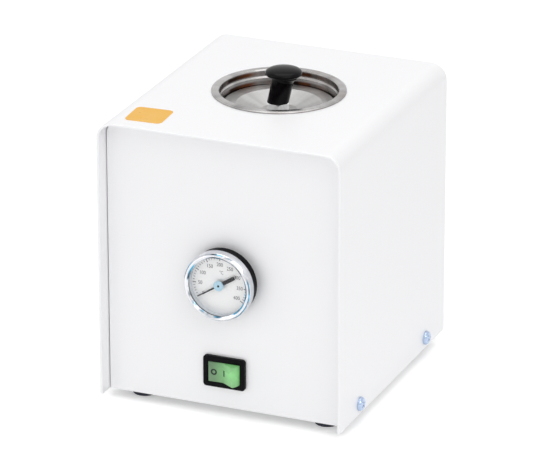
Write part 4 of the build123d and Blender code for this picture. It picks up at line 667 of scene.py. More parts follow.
INK_GREEN = Finish("ink_green", (0.002, 0.012, 0.006), (0.004, 0.025, 0.01), density=3000.0, rough=(0.4, 0.55), bump=0.1)
HUB_BLUE = Finish(
    "hub_pale_blue", (0.42, 0.7, 0.86), (0.62, 0.84, 0.95), density=1800.0, rough=(0.3, 0.45), bump=0.08
)
ROCKER_GREEN = Finish(
    "lit_green",
    (0.1, 0.2, 0.11),
    (0.26, 0.42, 0.24),
    density=700.0,
    rough=(0.2, 0.35),
    bump=0.06,
    specular=0.3,
    centre=(5.0, -63.0, 23.5),
    glow=(0.28, 0.95, 0.26),
    glow_strength=0.5,
    glow_reach=11.0,
)
BRASS = Finish(
    "brass", (0.6, 0.44, 0.18), (0.8, 0.63, 0.3), density=1800.0, rough=(0.25, 0.4), metallic=1.0, bump=0.1
)
COPPER = Finish(
    "copper", (0.62, 0.32, 0.2), (0.82, 0.48, 0.33), density=1800.0, rough=(0.25, 0.42), metallic=1.0, bump=0.1
)
# turned rings: the dark and light shades follow painted reflection streaks round the axis
ALUMINIUM = Finish(
    "turned_aluminium",
    (0.6, 0.61, 0.62),
    (0.78, 0.79, 0.8),
    Texture.RINGS,
    density=3500.0,
    rough=(0.25, 0.4),
    metallic=1.0,
    bump=0.2,
    centre=WELL_AXIS,
)
GALVANISED = Finish(
    "galvanised_sheet",
    (0.5, 0.51, 0.52),
    (0.7, 0.71, 0.72),
    Texture.STROKES,
    density=2500.0,
    rough=(0.3, 0.5),
    metallic=1.0,
    bump=0.1,
    marks=0.2,
    marks_density=90.0,
)
HEATER_JACKET = Finish(
    "heater_jacket",
    (0.36, 0.3, 0.24),
    (0.58, 0.53, 0.47),
    Texture.STROKES,
    density=2200.0,
    rough=(0.3, 0.5),
    metallic=1.0,
    bump=0.1,
    soil=(0.2, 0.13, 0.08),
    marks=0.4,
    marks_density=70.0,
)
WOOL = Finish(
    "mineral_wool", (0.5, 0.45, 0.3), (0.72, 0.67, 0.52), density=1600.0, rough=(0.85, 0.98), bump=0.8, depth_mm=0.4,
    sheen=0.3,
)
CERAMIC = Finish("white_ceramic", (0.76, 0.74, 0.69), (0.85, 0.83, 0.78), density=2200.0, rough=(0.55, 0.7), bump=0.15)
PHENOLIC = Finish("phenolic", (0.05, 0.035, 0.03), (0.09, 0.065, 0.055), density=1500.0, rough=(0.35, 0.5), bump=0.15)
BROWN_WIRE = Finish("brown_insulation", (0.14, 0.06, 0.03), (0.2, 0.09, 0.045), density=1500.0, rough=(0.4, 0.55))
BLUE_WIRE = Finish("blue_insulation", (0.02, 0.08, 0.32), (0.04, 0.13, 0.42), density=1500.0, rough=(0.4, 0.55))
EARTH_WIRE = Finish(
    "green_yellow_insulation", (0.08, 0.36, 0.05), (0.75, 0.65, 0.04), Texture.STROKES, density=9000.0, rough=(0.4, 0.55)
)


class Mesher:
    """Makes meshes in millimetres and finishes them as objects in metres."""

    @staticmethod
    def finish(name: str, mesh: bmesh.types.BMesh, finish: Finish, sharp: float = 32.0) -> bpy.types.Object:
        """Turns a mesh in millimetres into a shaded object in metres.

        Args:
            name: Name of the object.
            mesh: The mesh, which is freed.
            finish: Its finish.
            sharp: Angle in degrees from which an edge stays sharp.

        Returns:
            The object.
        """
        bmesh.ops.remove_doubles(mesh, verts=mesh.verts, dist=0.0005)
        bmesh.ops.recalc_face_normals(mesh, faces=mesh.faces)
        bmesh.ops.transform(mesh, matrix=Matrix.Scale(MM, 4), verts=mesh.verts)
        data = bpy.data.meshes.new(name)
        mesh.to_mesh(data)
        mesh.free()
        for face in data.polygons:
            face.use_smooth = True
        data.set_sharp_from_angle(angle=math.radians(sharp))
        data.materials.append(finish.material())
        made = bpy.data.objects.new(name, data)
        bpy.context.scene.collection.objects.link(made)
        return made

    @staticmethod
    def soften(points: Sequence[Point2], radius: float, steps: int = 4) -> list[Point2]:
        """Rounds the corners of a closed outline that lie off its axis.

        Args:
            points: Radius and height of each corner.
            radius: Wanted radius of the corners.
            steps: Segments in each arc.

        Returns:
            The rounded outline.
        """
        result: list[Point2] = []
        count = len(points)
        for i, point in enumerate(points):
            here = Vector(point)
            run_in = Vector(points[i - 1]) - here
            run_out = Vector(points[(i + 1) % count]) - here
            if point[0] < 1e-6 or run_in.length < 1e-6 or run_out.length < 1e-6:
                result.append(point)
                continue
            half = run_in.angle(run_out) / 2
            reach = min(radius / math.tan(half), 0.45 * run_in.length, 0.45 * run_out.length)
            if half > math.radians(86):
                result.append(point)
                continue
            start = here + run_in.normalized() * reach
            end = here + run_out.normalized() * reach
            for k in range(steps + 1):
                t = k / steps
                spot = start * (1 - t) ** 2 + here * 2 * t * (1 - t) + end * t * t
                result.append((spot.x, spot.y))
        return result

    @staticmethod
    def add_turned(
        mesh: bmesh.types.BMesh, points: Sequence[Point2], matrix: Matrix, segments: int = 144
    ) -> list[bmesh.types.BMVert]:
        """Adds a solid of revolution.

        Args:
            mesh: Mesh that gets the solid.
            points: Closed outline as radius and height.
            matrix: Place of the axis, whose local upright is the axis itself.
            segments: Steps round the axis.

        Returns:
            The new vertices.
        """
        rings = []
        for radius, height in points:
            if radius < 1e-6:
                rings.append([mesh.verts.new(matrix @ Vector((0, 0, height)))] * segments)
                continue
            ring = []
            for k in range(segments):
                angle = 2 * math.pi * k / segments
                spot = Vector((radius * math.cos(angle), radius * math.sin(angle), height))
                ring.append(mesh.verts.new(matrix @ spot))
            rings.append(ring)
        for i, ring in enumerate(rings):
            after = rings[(i + 1) % len(rings)]
            for k in range(segments):
                corners = [ring[k], ring[(k + 1) % segments], after[(k + 1) % segments], after[k]]
                unique = list(dict.fromkeys(corners))
                if len(unique) > 2:
                    mesh.faces.new(unique)
        return [vert for ring in rings for vert in dict.fromkeys(ring)]

    @classmethod
    def turned(
        cls, name: str, points: Sequence[Point2], matrix: Matrix, finish: Finish, segments: int = 144
    ) -> bpy.types.Object:
        """Makes one turned piece.

        Args:
            name: Name of the object.
            points: Closed outline as radius and height.
            matrix: Place of its axis.
            finish: Its finish.
            segments: Steps round the axis.

        Returns:
            The object.
        """
        mesh = bmesh.new()
        cls.add_turned(mesh, points, matrix, segments)
        return cls.finish(name, mesh, finish)


class CopyTree:
    """Geometry Nodes trees for what repeats."""

    @staticmethod
    def _start(name: str, inputs: Sequence[tuple]) -> tuple[bpy.types.NodeTree, TreeMaker, bpy.types.Node]:
        """Starts a tree with named inputs and a geometry output.

        Args:
            name: Name of the tree.
            inputs: Name, socket type and default of each input.

        Returns:
            The tree, its maker and its input node.
        """
        tree = bpy.data.node_groups.new(name, "GeometryNodeTree")
        tree.interface.new_socket(name="Geometry", in_out="INPUT", socket_type="NodeSocketGeometry")
        for label, kind, default in inputs:
            socket = tree.interface.new_socket(name=label, in_out="INPUT", socket_type=kind)
            if default is not None:
                socket.default_value = default
        tree.interface.new_socket(name="Geometry", in_out="OUTPUT", socket_type="NodeSocketGeometry")
        maker = TreeMaker(tree)
        return tree, maker, maker.node("NodeGroupInput")

    @staticmethod
    def _end(maker: TreeMaker, geometry: Socket, material: Socket) -> None:
        """Ends a tree in realised instances with a material.

        Args:
            maker: Maker of the tree.
            geometry: Instances.
            material: Material input.
        """
        real = maker.node("GeometryNodeRealizeInstances", {"Geometry": geometry}).outputs[0]
        dressed = maker.node("GeometryNodeSetMaterial", {"Geometry": real, "Material": material}).outputs[0]
        maker.node("NodeGroupOutput", {"Geometry": dressed})

    @classmethod
    def at_marks(cls) -> bpy.types.NodeTree:
        """Tree that sets a copy of an object on each mark, along the mark's own direction."""
        inputs = (
            ("Piece", "NodeSocketObject", None),
            ("Spin", "NodeSocketFloat", 0.0),
            ("Finish", "NodeSocketMaterial", None),
        )
        tree, maker, entry = cls._start("copies_at_marks", inputs)
        info = maker.node("GeometryNodeObjectInfo", {"Object": entry.outputs["Piece"]})
        facing = maker.node("GeometryNodeInputNamedAttribute", {"Name": "facing"}, data_type="FLOAT_VECTOR")
        aim = maker.node("FunctionNodeAlignRotationToVector", {"Vector": facing.outputs[0]}, axis="Z")
        feeds = {
            "Points": entry.outputs["Geometry"],
            "Instance": info.outputs["Geometry"],
            "Rotation": aim.outputs[0],
        }
        copies = maker.node("GeometryNodeInstanceOnPoints", feeds).outputs[0]
        turn = maker.node("ShaderNodeCombineXYZ", {2: entry.outputs["Spin"]}).outputs[0]
        spun = maker.node("GeometryNodeRotateInstances", {"Instances": copies, "Rotation": turn})
        cls._end(maker, spun.outputs[0], entry.outputs["Finish"])
        return tree

    @classmethod
    def tick_arc(cls) -> bpy.types.NodeTree:
        """Tree that sets printed ticks on an arc of the dial."""
        inputs = (
            ("Count", "NodeSocketInt", 9),
            ("Radius", "NodeSocketFloat", 0.01),
            ("Start", "NodeSocketFloat", 0.0),
            ("Sweep", "NodeSocketFloat", 1.0),
            ("Size", "NodeSocketVector", None),
            ("Finish", "NodeSocketMaterial", None),
        )
        tree, maker, entry = cls._start("tick_arc", inputs)
        row = maker.node("GeometryNodeMeshLine", {"Count": entry.outputs["Count"]}).outputs[0]
        index = maker.node("GeometryNodeInputIndex").outputs[0]
        last = maker.math("SUBTRACT", entry.outputs["Count"], 1.0)
        share = maker.math("DIVIDE", index, last)
        angle = maker.math("SUBTRACT", entry.outputs["Start"], maker.math("MULTIPLY", share, entry.outputs["Sweep"]))
        across = maker.math("MULTIPLY", maker.math("COSINE", angle), entry.outputs["Radius"])
        upward = maker.math("MULTIPLY", maker.math("SINE", angle), entry.outputs["Radius"])
        spot = maker.node("ShaderNodeCombineXYZ", {0: across, 2: upward}).outputs[0]
        placed = maker.node("GeometryNodeSetPosition", {"Geometry": row, "Position": spot}).outputs[0]
        tick = maker.node("GeometryNodeMeshCube", {"Size": entry.outputs["Size"]}).outputs[0]
        back = maker.math("MULTIPLY", angle, -1.0)
        turn = maker.node("ShaderNodeCombineXYZ", {1: back}).outputs[0]
        feeds = {"Points": placed, "Instance": tick, "Rotation": turn}
        copies = maker.node("GeometryNodeInstanceOnPoints", feeds).outputs[0]
        cls._end(maker, copies, entry.outputs["Finish"])
        return tree

    @classmethod
    def bead_layers(cls, layers: int) -> bpy.types.NodeTree:
        """Tree that lays beads in layers on a round floor.

        Args:
            layers: How many layers.

        Returns:
            The tree.
        """
        inputs = (
            ("Floor Radius", "NodeSocketFloat", 0.017),
            ("Bead Radius", "NodeSocketFloat", 0.001),
            ("Seed", "NodeSocketInt", 7),
            ("Finish", "NodeSocketMaterial", None),
        )
        tree, maker, entry = cls._start("bead_layers", inputs)
        bead_r = entry.outputs["Bead Radius"]
        bead = maker.node("GeometryNodeMeshIcoSphere", {"Radius": bead_r, "Subdivisions": 2}).outputs[0]
        smooth = maker.node("GeometryNodeSetShadeSmooth", {0: bead}).outputs[0]
        reach = maker.math("SUBTRACT", entry.outputs["Floor Radius"], bead_r)
        floor = maker.node("GeometryNodeMeshCircle", {"Radius": reach, "Vertices": 96}, fill_type="TRIANGLE_FAN")
        join = maker.node("GeometryNodeJoinGeometry")
        for layer in range(layers):
            feeds = {
                "Mesh": floor.outputs[0],
                "Distance Min": maker.math("MULTIPLY", bead_r, 1.85),
                "Density Max": 9.0e6,
                "Seed": maker.math("ADD", entry.outputs["Seed"], float(layer)),
            }
            scatter = maker.node("GeometryNodeDistributePointsOnFaces", feeds, distribute_method="POISSON")
            low = maker.math("MULTIPLY", bead_r, -1.3 * layer - 0.35)
            high = maker.math("MULTIPLY", bead_r, -1.3 * layer)
            chance = maker.node("FunctionNodeRandomValue", {2: low, 3: high, "Seed": layer}, data_type="FLOAT")
            lift = maker.node("ShaderNodeCombineXYZ", {2: chance.outputs[1]}).outputs[0]
            feeds = {"Geometry": scatter.outputs[0], "Offset": lift}
            moved = maker.node("GeometryNodeSetPosition", feeds).outputs[0]
            copies = maker.node("GeometryNodeInstanceOnPoints", {"Points": moved, "Instance": smooth}).outputs[0]
            tree.links.new(copies, join.inputs[0])
        cls._end(maker, join.outputs[0], entry.outputs["Finish"])
        return tree

    @staticmethod
    def bake(
        name: str, source: bpy.types.Object, tree: bpy.types.NodeTree, inputs: dict[str, object]
    ) -> bpy.types.Object:
        """Runs a tree on an object and keeps the result as a plain mesh.

        Args:
            name: Name of the result.
            source: Object that carries the modifier and is removed.
            tree: The tree.
            inputs: Input name to value.

        Returns:
            The plain object.
        """
        modifier = source.modifiers.new("copies", "NODES")
        modifier.node_group = tree
        for item in tree.interface.items_tree:
            if item.item_type == "SOCKET" and item.in_out == "INPUT" and item.name in inputs:
                modifier[item.identifier] = inputs[item.name]
        bpy.context.view_layer.update()
        graph = bpy.context.evaluated_depsgraph_get()
        data = bpy.data.meshes.new_from_object(source.evaluated_get(graph), depsgraph=graph)
        data.name = name
        made = bpy.data.objects.new(name, data)
        bpy.context.scene.collection.objects.link(made)
        source.modifiers.remove(modifier)
        bpy.data.objects.remove(source)
        return made


def marks_object(name: str, marks: Iterable[tuple[Point3, Point3]]) -> bpy.types.Object:
    """Makes an object of loose points that each hold a direction.

    Args:
        name: Name of the object.
        marks: Place in millimetres and direction of each point.

    Returns:
        The object.
    """
    marks = list(marks)
    data = bpy.data.meshes.new(name)
    data.from_pydata([tuple(c * MM for c in place) for place, _ in marks], [], [])
    facing = data.attributes.new("facing", "FLOAT_VECTOR", "POINT")
    for item, (_, direction) in zip(facing.data, marks):
        item.vector = direction
    made = bpy.data.objects.new(name, data)
    bpy.context.scene.collection.objects.link(made)
    return made


def stand_in(piece: bpy.types.Object, body: Body, *nodes: str) -> bpy.types.Object:
    """Lets a piece ride on a body and stand for solids.

    Args:
        piece: Finished piece.
        body: Body that it moves with.
        *nodes: Solids that it replaces.

    Returns:
        The piece.
    """
    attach(piece, body.value)
    if nodes:
        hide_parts(*nodes)
    log.info("%s rides on %s and stands for %s", piece.name, body.value, ", ".join(nodes) or "itself")
    return piece


def dress(finish: Finish, *nodes: str) -> None:
    """Gives solids a finish.

    Args:
        finish: The finish.
        *nodes: Solids that get it.
    """
    for node in nodes:
        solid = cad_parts[node].data
        solid.materials.clear()
        solid.materials.append(finish.material())
        log.info("%s dressed as %s", node, finish.name)


@dataclass
class Screw:
    """A pan-head screw with a cross recess, head along +Z from its seat."""

    head_radius: float
    head_height: float
    shank_radius: float
    shank_length: float
    recess_width: float = 0.9
    recess_depth: float = 1.0
    recess_span: float = 1.2

    def build(self, name: str, finish: Finish) -> bpy.types.Object:
        """Makes the screw at the origin.

        Args:
            name: Name of the object.
            finish: Its finish.

        Returns:
            The object.
        """
        r, h = self.head_radius, self.head_height
        outline = [
            (0.0, h),
            (r * 0.5, h * 0.97),
            (r * 0.8, h * 0.82),
            (r * 0.96, h * 0.5),
            (r, h * 0.15),
            (r, 0.0),
            (self.shank_radius, 0.0),
            (self.shank_radius, -self.shank_length),
            (0.0, -self.shank_length),
        ]
        body = Mesher.turned(name, Mesher.soften(outline, 0.18, 3), Matrix.Identity(4), finish, 40)
        mesh = bmesh.new()
        for turn in (0.0, math.pi / 2):
            size = Matrix.Diagonal((r * self.recess_span, self.recess_width, self.recess_depth * 2, 1.0))
            place = Matrix.Translation((0, 0, h)) @ Matrix.Rotation(turn, 4, "Z") @ size
            bmesh.ops.create_cube(mesh, size=1.0, matrix=place)
        cutter = Mesher.finish(f"{name}_recess", mesh, finish)
        cut = body.modifiers.new("recess", "BOOLEAN")
        cut.object = cutter
        cut.operation = "DIFFERENCE"
        cut.solver = "EXACT"
        cut.use_self = True
        graph = bpy.context.evaluated_depsgraph_get()
        data = bpy.data.meshes.new_from_object(body.evaluated_get(graph), depsgraph=graph)
        body.modifiers.remove(cut)
        body.data = data
        bpy.data.objects.remove(cutter)
        return body


@dataclass
class Casing:
    """Folded cover, set-back panels, tray, feet, screws and the plain label."""

    half_width: float = 60.0
    screw_y: float = 42.0
    screw_z: float = 9.7
    foot_x: float = 46.0
    foot_y: float = 47.0
    foot_height: float = 4.6
    foot_radius: float = 6.5
    foot_taper: float = 0.7
    recess_radius: float = 3.9
    recess_height: float = 2.8
    foot_bore: float = 1.55
    screw: Screw = field(default_factory=lambda: Screw(3.4, 2.2, 2.0, 9.0))

    def build(self, copies: bpy.types.NodeTree) -> None:
        """Dresses the sheet pieces and sets the screws and feet.

        Args:
            copies: Tree that sets copies at marks.
        """
        dress(POWDER_COAT, "cover", "front_panel", "rear_panel")
        dress(INNER_COAT, "base_tray")
        dress(AMBER_FILM, "blank_label")
        dress(ZINC, "side_nuts", "small_nuts", "foot_screws")
        self._set_screws(copies)
        self._set_feet(copies)

    def _set_screws(self, copies: bpy.types.NodeTree) -> None:
        """Sets the four cover screws, two in each side."""
        marks = [
            ((side * self.half_width, y, self.screw_z), (float(side), 0.0, 0.0))
            for side in (-1, 1)
            for y in (-self.screw_y, self.screw_y)
        ]
        piece = self.screw.build("cover_screw", BLUE_ZINC)
        values = {"Piece": piece, "Spin": 0.5, "Finish": BLUE_ZINC.material()}
        baked = CopyTree.bake("cover_screws_set", marks_object("screw_marks", marks), copies, values)
        bpy.data.objects.remove(piece)
        stand_in(baked, Body.CASING, "cover_screws")

    def _set_feet(self, copies: bpy.types.NodeTree) -> None:
        """Sets the four tapered feet with rounded edges and a hollow for the screw."""
        outline = [
            (self.foot_bore, self.foot_height),
            (self.foot_radius, self.foot_height),
            (self.foot_radius - self.foot_taper, 0.0),
            (self.recess_radius, 0.0),
            (self.recess_radius, self.recess_height),
            (self.foot_bore, self.recess_height),
        ]
        foot = Mesher.turned("foot", Mesher.soften(outline, 0.5), Matrix.Identity(4), RUBBER, 56)
        marks = [
            ((x, y, 0.0), (0.0, 0.0, 1.0)) for x in (-self.foot_x, self.foot_x) for y in (-self.foot_y, self.foot_y)
        ]
        values = {"Piece": foot, "Spin": 0.0, "Finish": RUBBER.material()}
        baked = CopyTree.bake("feet_set", marks_object("foot_marks", marks), copies, values)
        bpy.data.objects.remove(foot)
        stand_in(baked, Body.CASING, "rubber_feet")


@dataclass
class BeadWell:
    """Spun dish round the mouth of the cup, and the bed of beads."""

    top: float = 139.5
    flange_radius: float = 31.5
    flange_thickness: float = 0.9
    mouth_radius: float = 27.6
    ledge_radius: float = 26.9
    ledge_depth: float = 2.4
    floor_depth: float = 7.4
    floor_hole_radius: float = 21.5
    wall: float = 0.8
    bed_foot: float = 77.6
    bed_top: float = 122.0
    bed_radius: float = 17.2
    bead_radius: float = 0.95
    layers: int = 3

    def build(self) -> None:
        """Makes the dish and the beads and dresses the cup."""
        dress(SPUN_DISH, "bead_cup", "dish_screws")
        self._dish()
        self._beads()

    def _dish(self) -> None:
        """Turns the dish with its rolled flange and stepped wall."""
        lip = self.top + self.flange_thickness
        ledge = self.top - self.ledge_depth
        floor = self.top - self.floor_depth
        under = floor - self.wall
        step = self.mouth_radius - self.ledge_radius
        outline = [
            (self.flange_radius, self.top),
            (self.flange_radius - 0.1, self.top + self.flange_thickness * 0.7),
            (self.flange_radius - 1.0, lip),
            (self.mouth_radius + 0.5, lip),
            (self.mouth_radius, lip - 0.6),
            (self.mouth_radius, ledge),
            (self.ledge_radius, ledge - step),
            (self.ledge_radius, floor),
            (self.floor_hole_radius, floor),
            (self.floor_hole_radius, under),
            (self.ledge_radius + self.wall, under),
            (self.ledge_radius + self.wall, ledge - self.wall),
            (self.mouth_radius + self.wall, ledge - self.wall / 2),
            (self.mouth_radius + self.wall, self.top),
        ]
        place = Matrix.Translation(WELL_AXIS)
        dish = Mesher.turned("spun_dish_piece", Mesher.soften(outline, 0.3, 4), place, SPUN_DISH, 192)
        stand_in(dish, Body.CASING, "well_dish")

    def _beads(self) -> None:
        """Lays single beads over a solid core."""
        level = self.bed_top - self.bead_radius
        values = {
            "Floor Radius": self.bed_radius * MM,
            "Bead Radius": self.bead_radius * MM,
            "Seed": 11,
            "Finish": BEAD_GLASS.material(),
        }
        start = marks_object("bead_start", [((0.0, 0.0, 0.0), (0.0, 0.0, 1.0))])
        loose = CopyTree.bake("loose_beads", start, CopyTree.bead_layers(self.layers), values)
        mesh = bmesh.new()
        mesh.from_mesh(loose.data)
        shift = Matrix.Translation(Vector((WELL_AXIS[0], WELL_AXIS[1], level)) * MM)
        bmesh.ops.transform(mesh, matrix=shift, verts=mesh.verts)
        bpy.data.objects.remove(loose)
        bmesh.ops.transform(mesh, matrix=Matrix.Scale(1 / MM, 4), verts=mesh.verts)
        core_top = self.bed_top - self.bead_radius * 2.2
        outline = [(0.0, self.bed_foot), (self.bed_radius, self.bed_foot), (self.bed_radius, core_top), (0.0, core_top)]
        Mesher.add_turned(mesh, Mesher.soften(outline, 1.5), Matrix.Translation(WELL_AXIS), 64)
        bed = Mesher.finish("bead_bed", mesh, BEAD_GLASS, 60.0)
        stand_in(bed, Body.CASING, "glass_beads")


@dataclass
class LooseLid:
    """Dished plate with a nut, a bent stud and a slanting mushroom knob."""

    plate_radius: float = 26.2
    plate_top: float = 133.4
    plate_thickness: float = 1.0
    cone_radius: float = 20.0
    flat_radius: float = 9.0
    dish: float = 3.6
    stud: Point2 = (0.7, 2.56)
    nut_height: float = 4.5
    lean: float = 12.2
    lean_heading: float = 23.0
    stem_radius: float = 5.0
    stem_length: float = 12.5
    cap_radius: float = 8.6
    cap_under: float = 1.3
    cap_edge: float = 0.9
    cap_dome: float = 2.4

    def build(self) -> None:
        """Makes the plate and the knob and dresses nut and stud."""
        dress(BRIGHT_STEEL, "lid_nut", "lid_stud")
        self._plate()
        self._knob()

    def _plate(self) -> None:
        """Turns the plate with its conical middle and rounded rim."""
        top, t = self.plate_top, self.plate_thickness
        outline = [
            (0.0, top - self.dish),
            (self.flat_radius, top - self.dish),
            (self.cone_radius, top),
            (self.plate_radius, top),
            (self.plate_radius, top - t),
            (self.cone_radius, top - t),
            (self.flat_radius, top - self.dish - t),
            (0.0, top - self.dish - t),
        ]
        plate = Mesher.turned(
            "lid_plate_piece", Mesher.soften(outline, 1.6, 6), Matrix.Translation(WELL_AXIS), SATIN_LID, 192
        )
        stand_in(plate, Body.LID, "lid_plate")

    def _knob(self) -> None:
        """Makes the slanting stem and the level cap as one moulding."""
        bend = Vector((self.stud[0], self.stud[1], self.plate_top - self.dish + self.nut_height))
        heading, lean = math.radians(self.lean_heading), math.radians(self.lean)
        along = Vector((math.sin(lean) * math.cos(heading), math.sin(lean) * math.sin(heading), math.cos(lean)))
        axis = Matrix.Translation(bend) @ along.to_track_quat("Z", "Y").to_matrix().to_4x4()
        mesh = bmesh.new()
        r, length = self.stem_radius, self.stem_length
        stem = [(0.0, -r), (r, -r), (r, length - 1.6), (r + 0.5, length - 0.4), (r + 1.6, length + 0.9), (0.0, length + 1.2)]
        verts = Mesher.add_turned(mesh, Mesher.soften(stem, 0.6), axis, 96)
        for vert in verts:
            if vert.co.z < bend.z + 0.02:
                vert.co = self._slide_to(vert.co, along, bend.z + 0.02)
        top = bend + along * length
        rim = top.z + self.cap_under
        under = [(0.0, top.z), (self.stem_radius + 0.6, top.z + 0.1), (self.cap_radius - 0.5, rim - 0.25)]
        dome = []
        for k in range(14):
            a = math.pi / 2 * k / 14
            dome.append((self.cap_radius * math.cos(a), rim + self.cap_edge + self.cap_dome * math.sin(a)))
        edge = [(self.cap_radius, rim + 0.25)]
        outline = under + edge + dome + [(0.0, rim + self.cap_edge + self.cap_dome)]
        Mesher.add_turned(mesh, outline, Matrix.Translation((top.x, top.y, 0.0)), 96)
        knob = Mesher.finish("mushroom_knob", mesh, BLACK_GLOSS, 50.0)
        stand_in(knob, Body.LID, "lid_knob")

    @staticmethod
    def _slide_to(spot: Vector, along: Vector, level: float) -> Vector:
        """Slides a point along the stem up to a level."""
        return spot + along * ((level - spot.z) / along.z)


@dataclass
class DialThermometer:
    """Bezel, window, printed dial and pointer."""

    axis_z: float = 67.9
    panel_y: float = -59.0
    standoff: float = 9.9
    depth: float = 4.9
    bezel_radius: float = 16.8
    crest_radius: float = 15.5
    opening_radius: float = 14.1
    lip: float = 0.9
    dial_y: float = -64.5
    zero_angle: float = 212.5
    sweep: float = 245.0
    numeral_radius: float = 9.8
    numeral_height: float = 2.5
    tick_radius: float = 12.7

    def build(self) -> None:
        """Dresses the solids, turns the bezel and prints the dial."""
        dress(CASE_BLACK, "gauge_case")
        dress(WINDOW, "gauge_glass")
        dress(DIAL_WHITE, "gauge_dial")
        dress(INK_BLACK, "gauge_pointer")
        dress(HUB_BLUE, "pointer_hub")
        dress(BRASS, "gauge_nut")
        dress(INK_BLACK, "gauge_spindle")
        dress(BRIGHT_STEEL, "thermometer_stem")
        dress(BRASS, "bimetal_strip")
        self._bezel()
        self._ticks("scale_marks", 9, 1.7, 0.34)
        self._ticks("scale_lines", 41, 1.0, 0.2)
        self._numerals()

    def _bezel(self) -> None:
        """Turns the ring with its rounded crest and sloping inner edge."""
        front = self.standoff
        rear = front - self.depth
        seat = self.bezel_radius - 0.9
        outline = [
            (seat, rear),
            (self.bezel_radius, rear),
            (self.bezel_radius, front - 2.4),
            (self.bezel_radius - 0.25, front - 1.2),
            (self.crest_radius + 0.3, front - 0.15),
            (self.crest_radius, front),
            (self.crest_radius - 0.35, front - 0.1),
            (self.opening_radius + 0.3, front - self.lip + 0.25),
            (self.opening_radius, front - self.lip),
            (seat, front - self.lip),
        ]
        place = Matrix.Translation((0.0, self.panel_y, self.axis_z)) @ Facing.FRONT.matrix()
        ring = Mesher.turned("polished_ring", Mesher.soften(outline, 0.35, 5), place, BEZEL_STEEL, 192)
        stand_in(ring, Body.CASING, "gauge_bezel")

    def _ticks(self, name: str, count: int, length: float, width: float) -> None:
        """Prints a row of ticks on the dial.

        Args:
            name: Name of the piece.
            count: Number of ticks.
            length: Length of each along the radius.
            width: Width of each.
        """
        values = {
            "Count": count,
            "Radius": (self.tick_radius + (1.7 - length) / 2 * 0.6) * MM,
            "Start": math.radians(self.zero_angle),
            "Sweep": math.radians(self.sweep),
            "Size": (length * MM, 0.04 * MM, width * MM),
            "Finish": INK_GREY.material(),
        }
        start = marks_object(f"{name}_start", [((0.0, 0.0, 0.0), (0.0, 0.0, 1.0))])
        ticks = CopyTree.bake(name, start, CopyTree.tick_arc(), values)
        ticks.data.transform(Matrix.Translation(Vector((0.0, self.dial_y - 0.03, self.axis_z)) * MM))
        stand_in(ticks, Body.CASING)

    def _numerals(self) -> None:
        """Prints the plain numbers of the scale and its unit."""
        words = []
        for k in range(9):
            angle = math.radians(self.zero_angle - self.sweep * k / 8)
            spot = (self.numeral_radius * math.cos(angle), self.numeral_radius * math.sin(angle))
            words.append((str(50 * k), spot, self.numeral_height))
        words.append(("°C", (0.8, 6.0), self.numeral_height * 0.9))
        mesh = bmesh.new()
        for text, (x, z), height in words:
            curve = bpy.data.curves.new(text, "FONT")
            curve.body = text
            curve.size = height
            curve.align_x = "CENTER"
            curve.align_y = "CENTER"
            curve.extrude = 0.02
            curve.resolution_u = 4
            carrier = bpy.data.objects.new(text, curve)
            bpy.context.scene.collection.objects.link(carrier)
            bpy.context.view_layer.update()
            data = bpy.data.meshes.new_from_object(carrier)
            place = Matrix.Translation((x, self.dial_y - 0.03, self.axis_z + z)) @ Facing.FRONT.matrix()
            data.transform(place @ Matrix.Diagonal((0.86, 1.0, 1.0, 1.0)))
            mesh.from_mesh(data)
            bpy.data.objects.remove(carrier)
            bpy.data.meshes.remove(data)
        numbers = Mesher.finish("scale_numbers", mesh, INK_GREY)
        stand_in(numbers, Body.CASING)


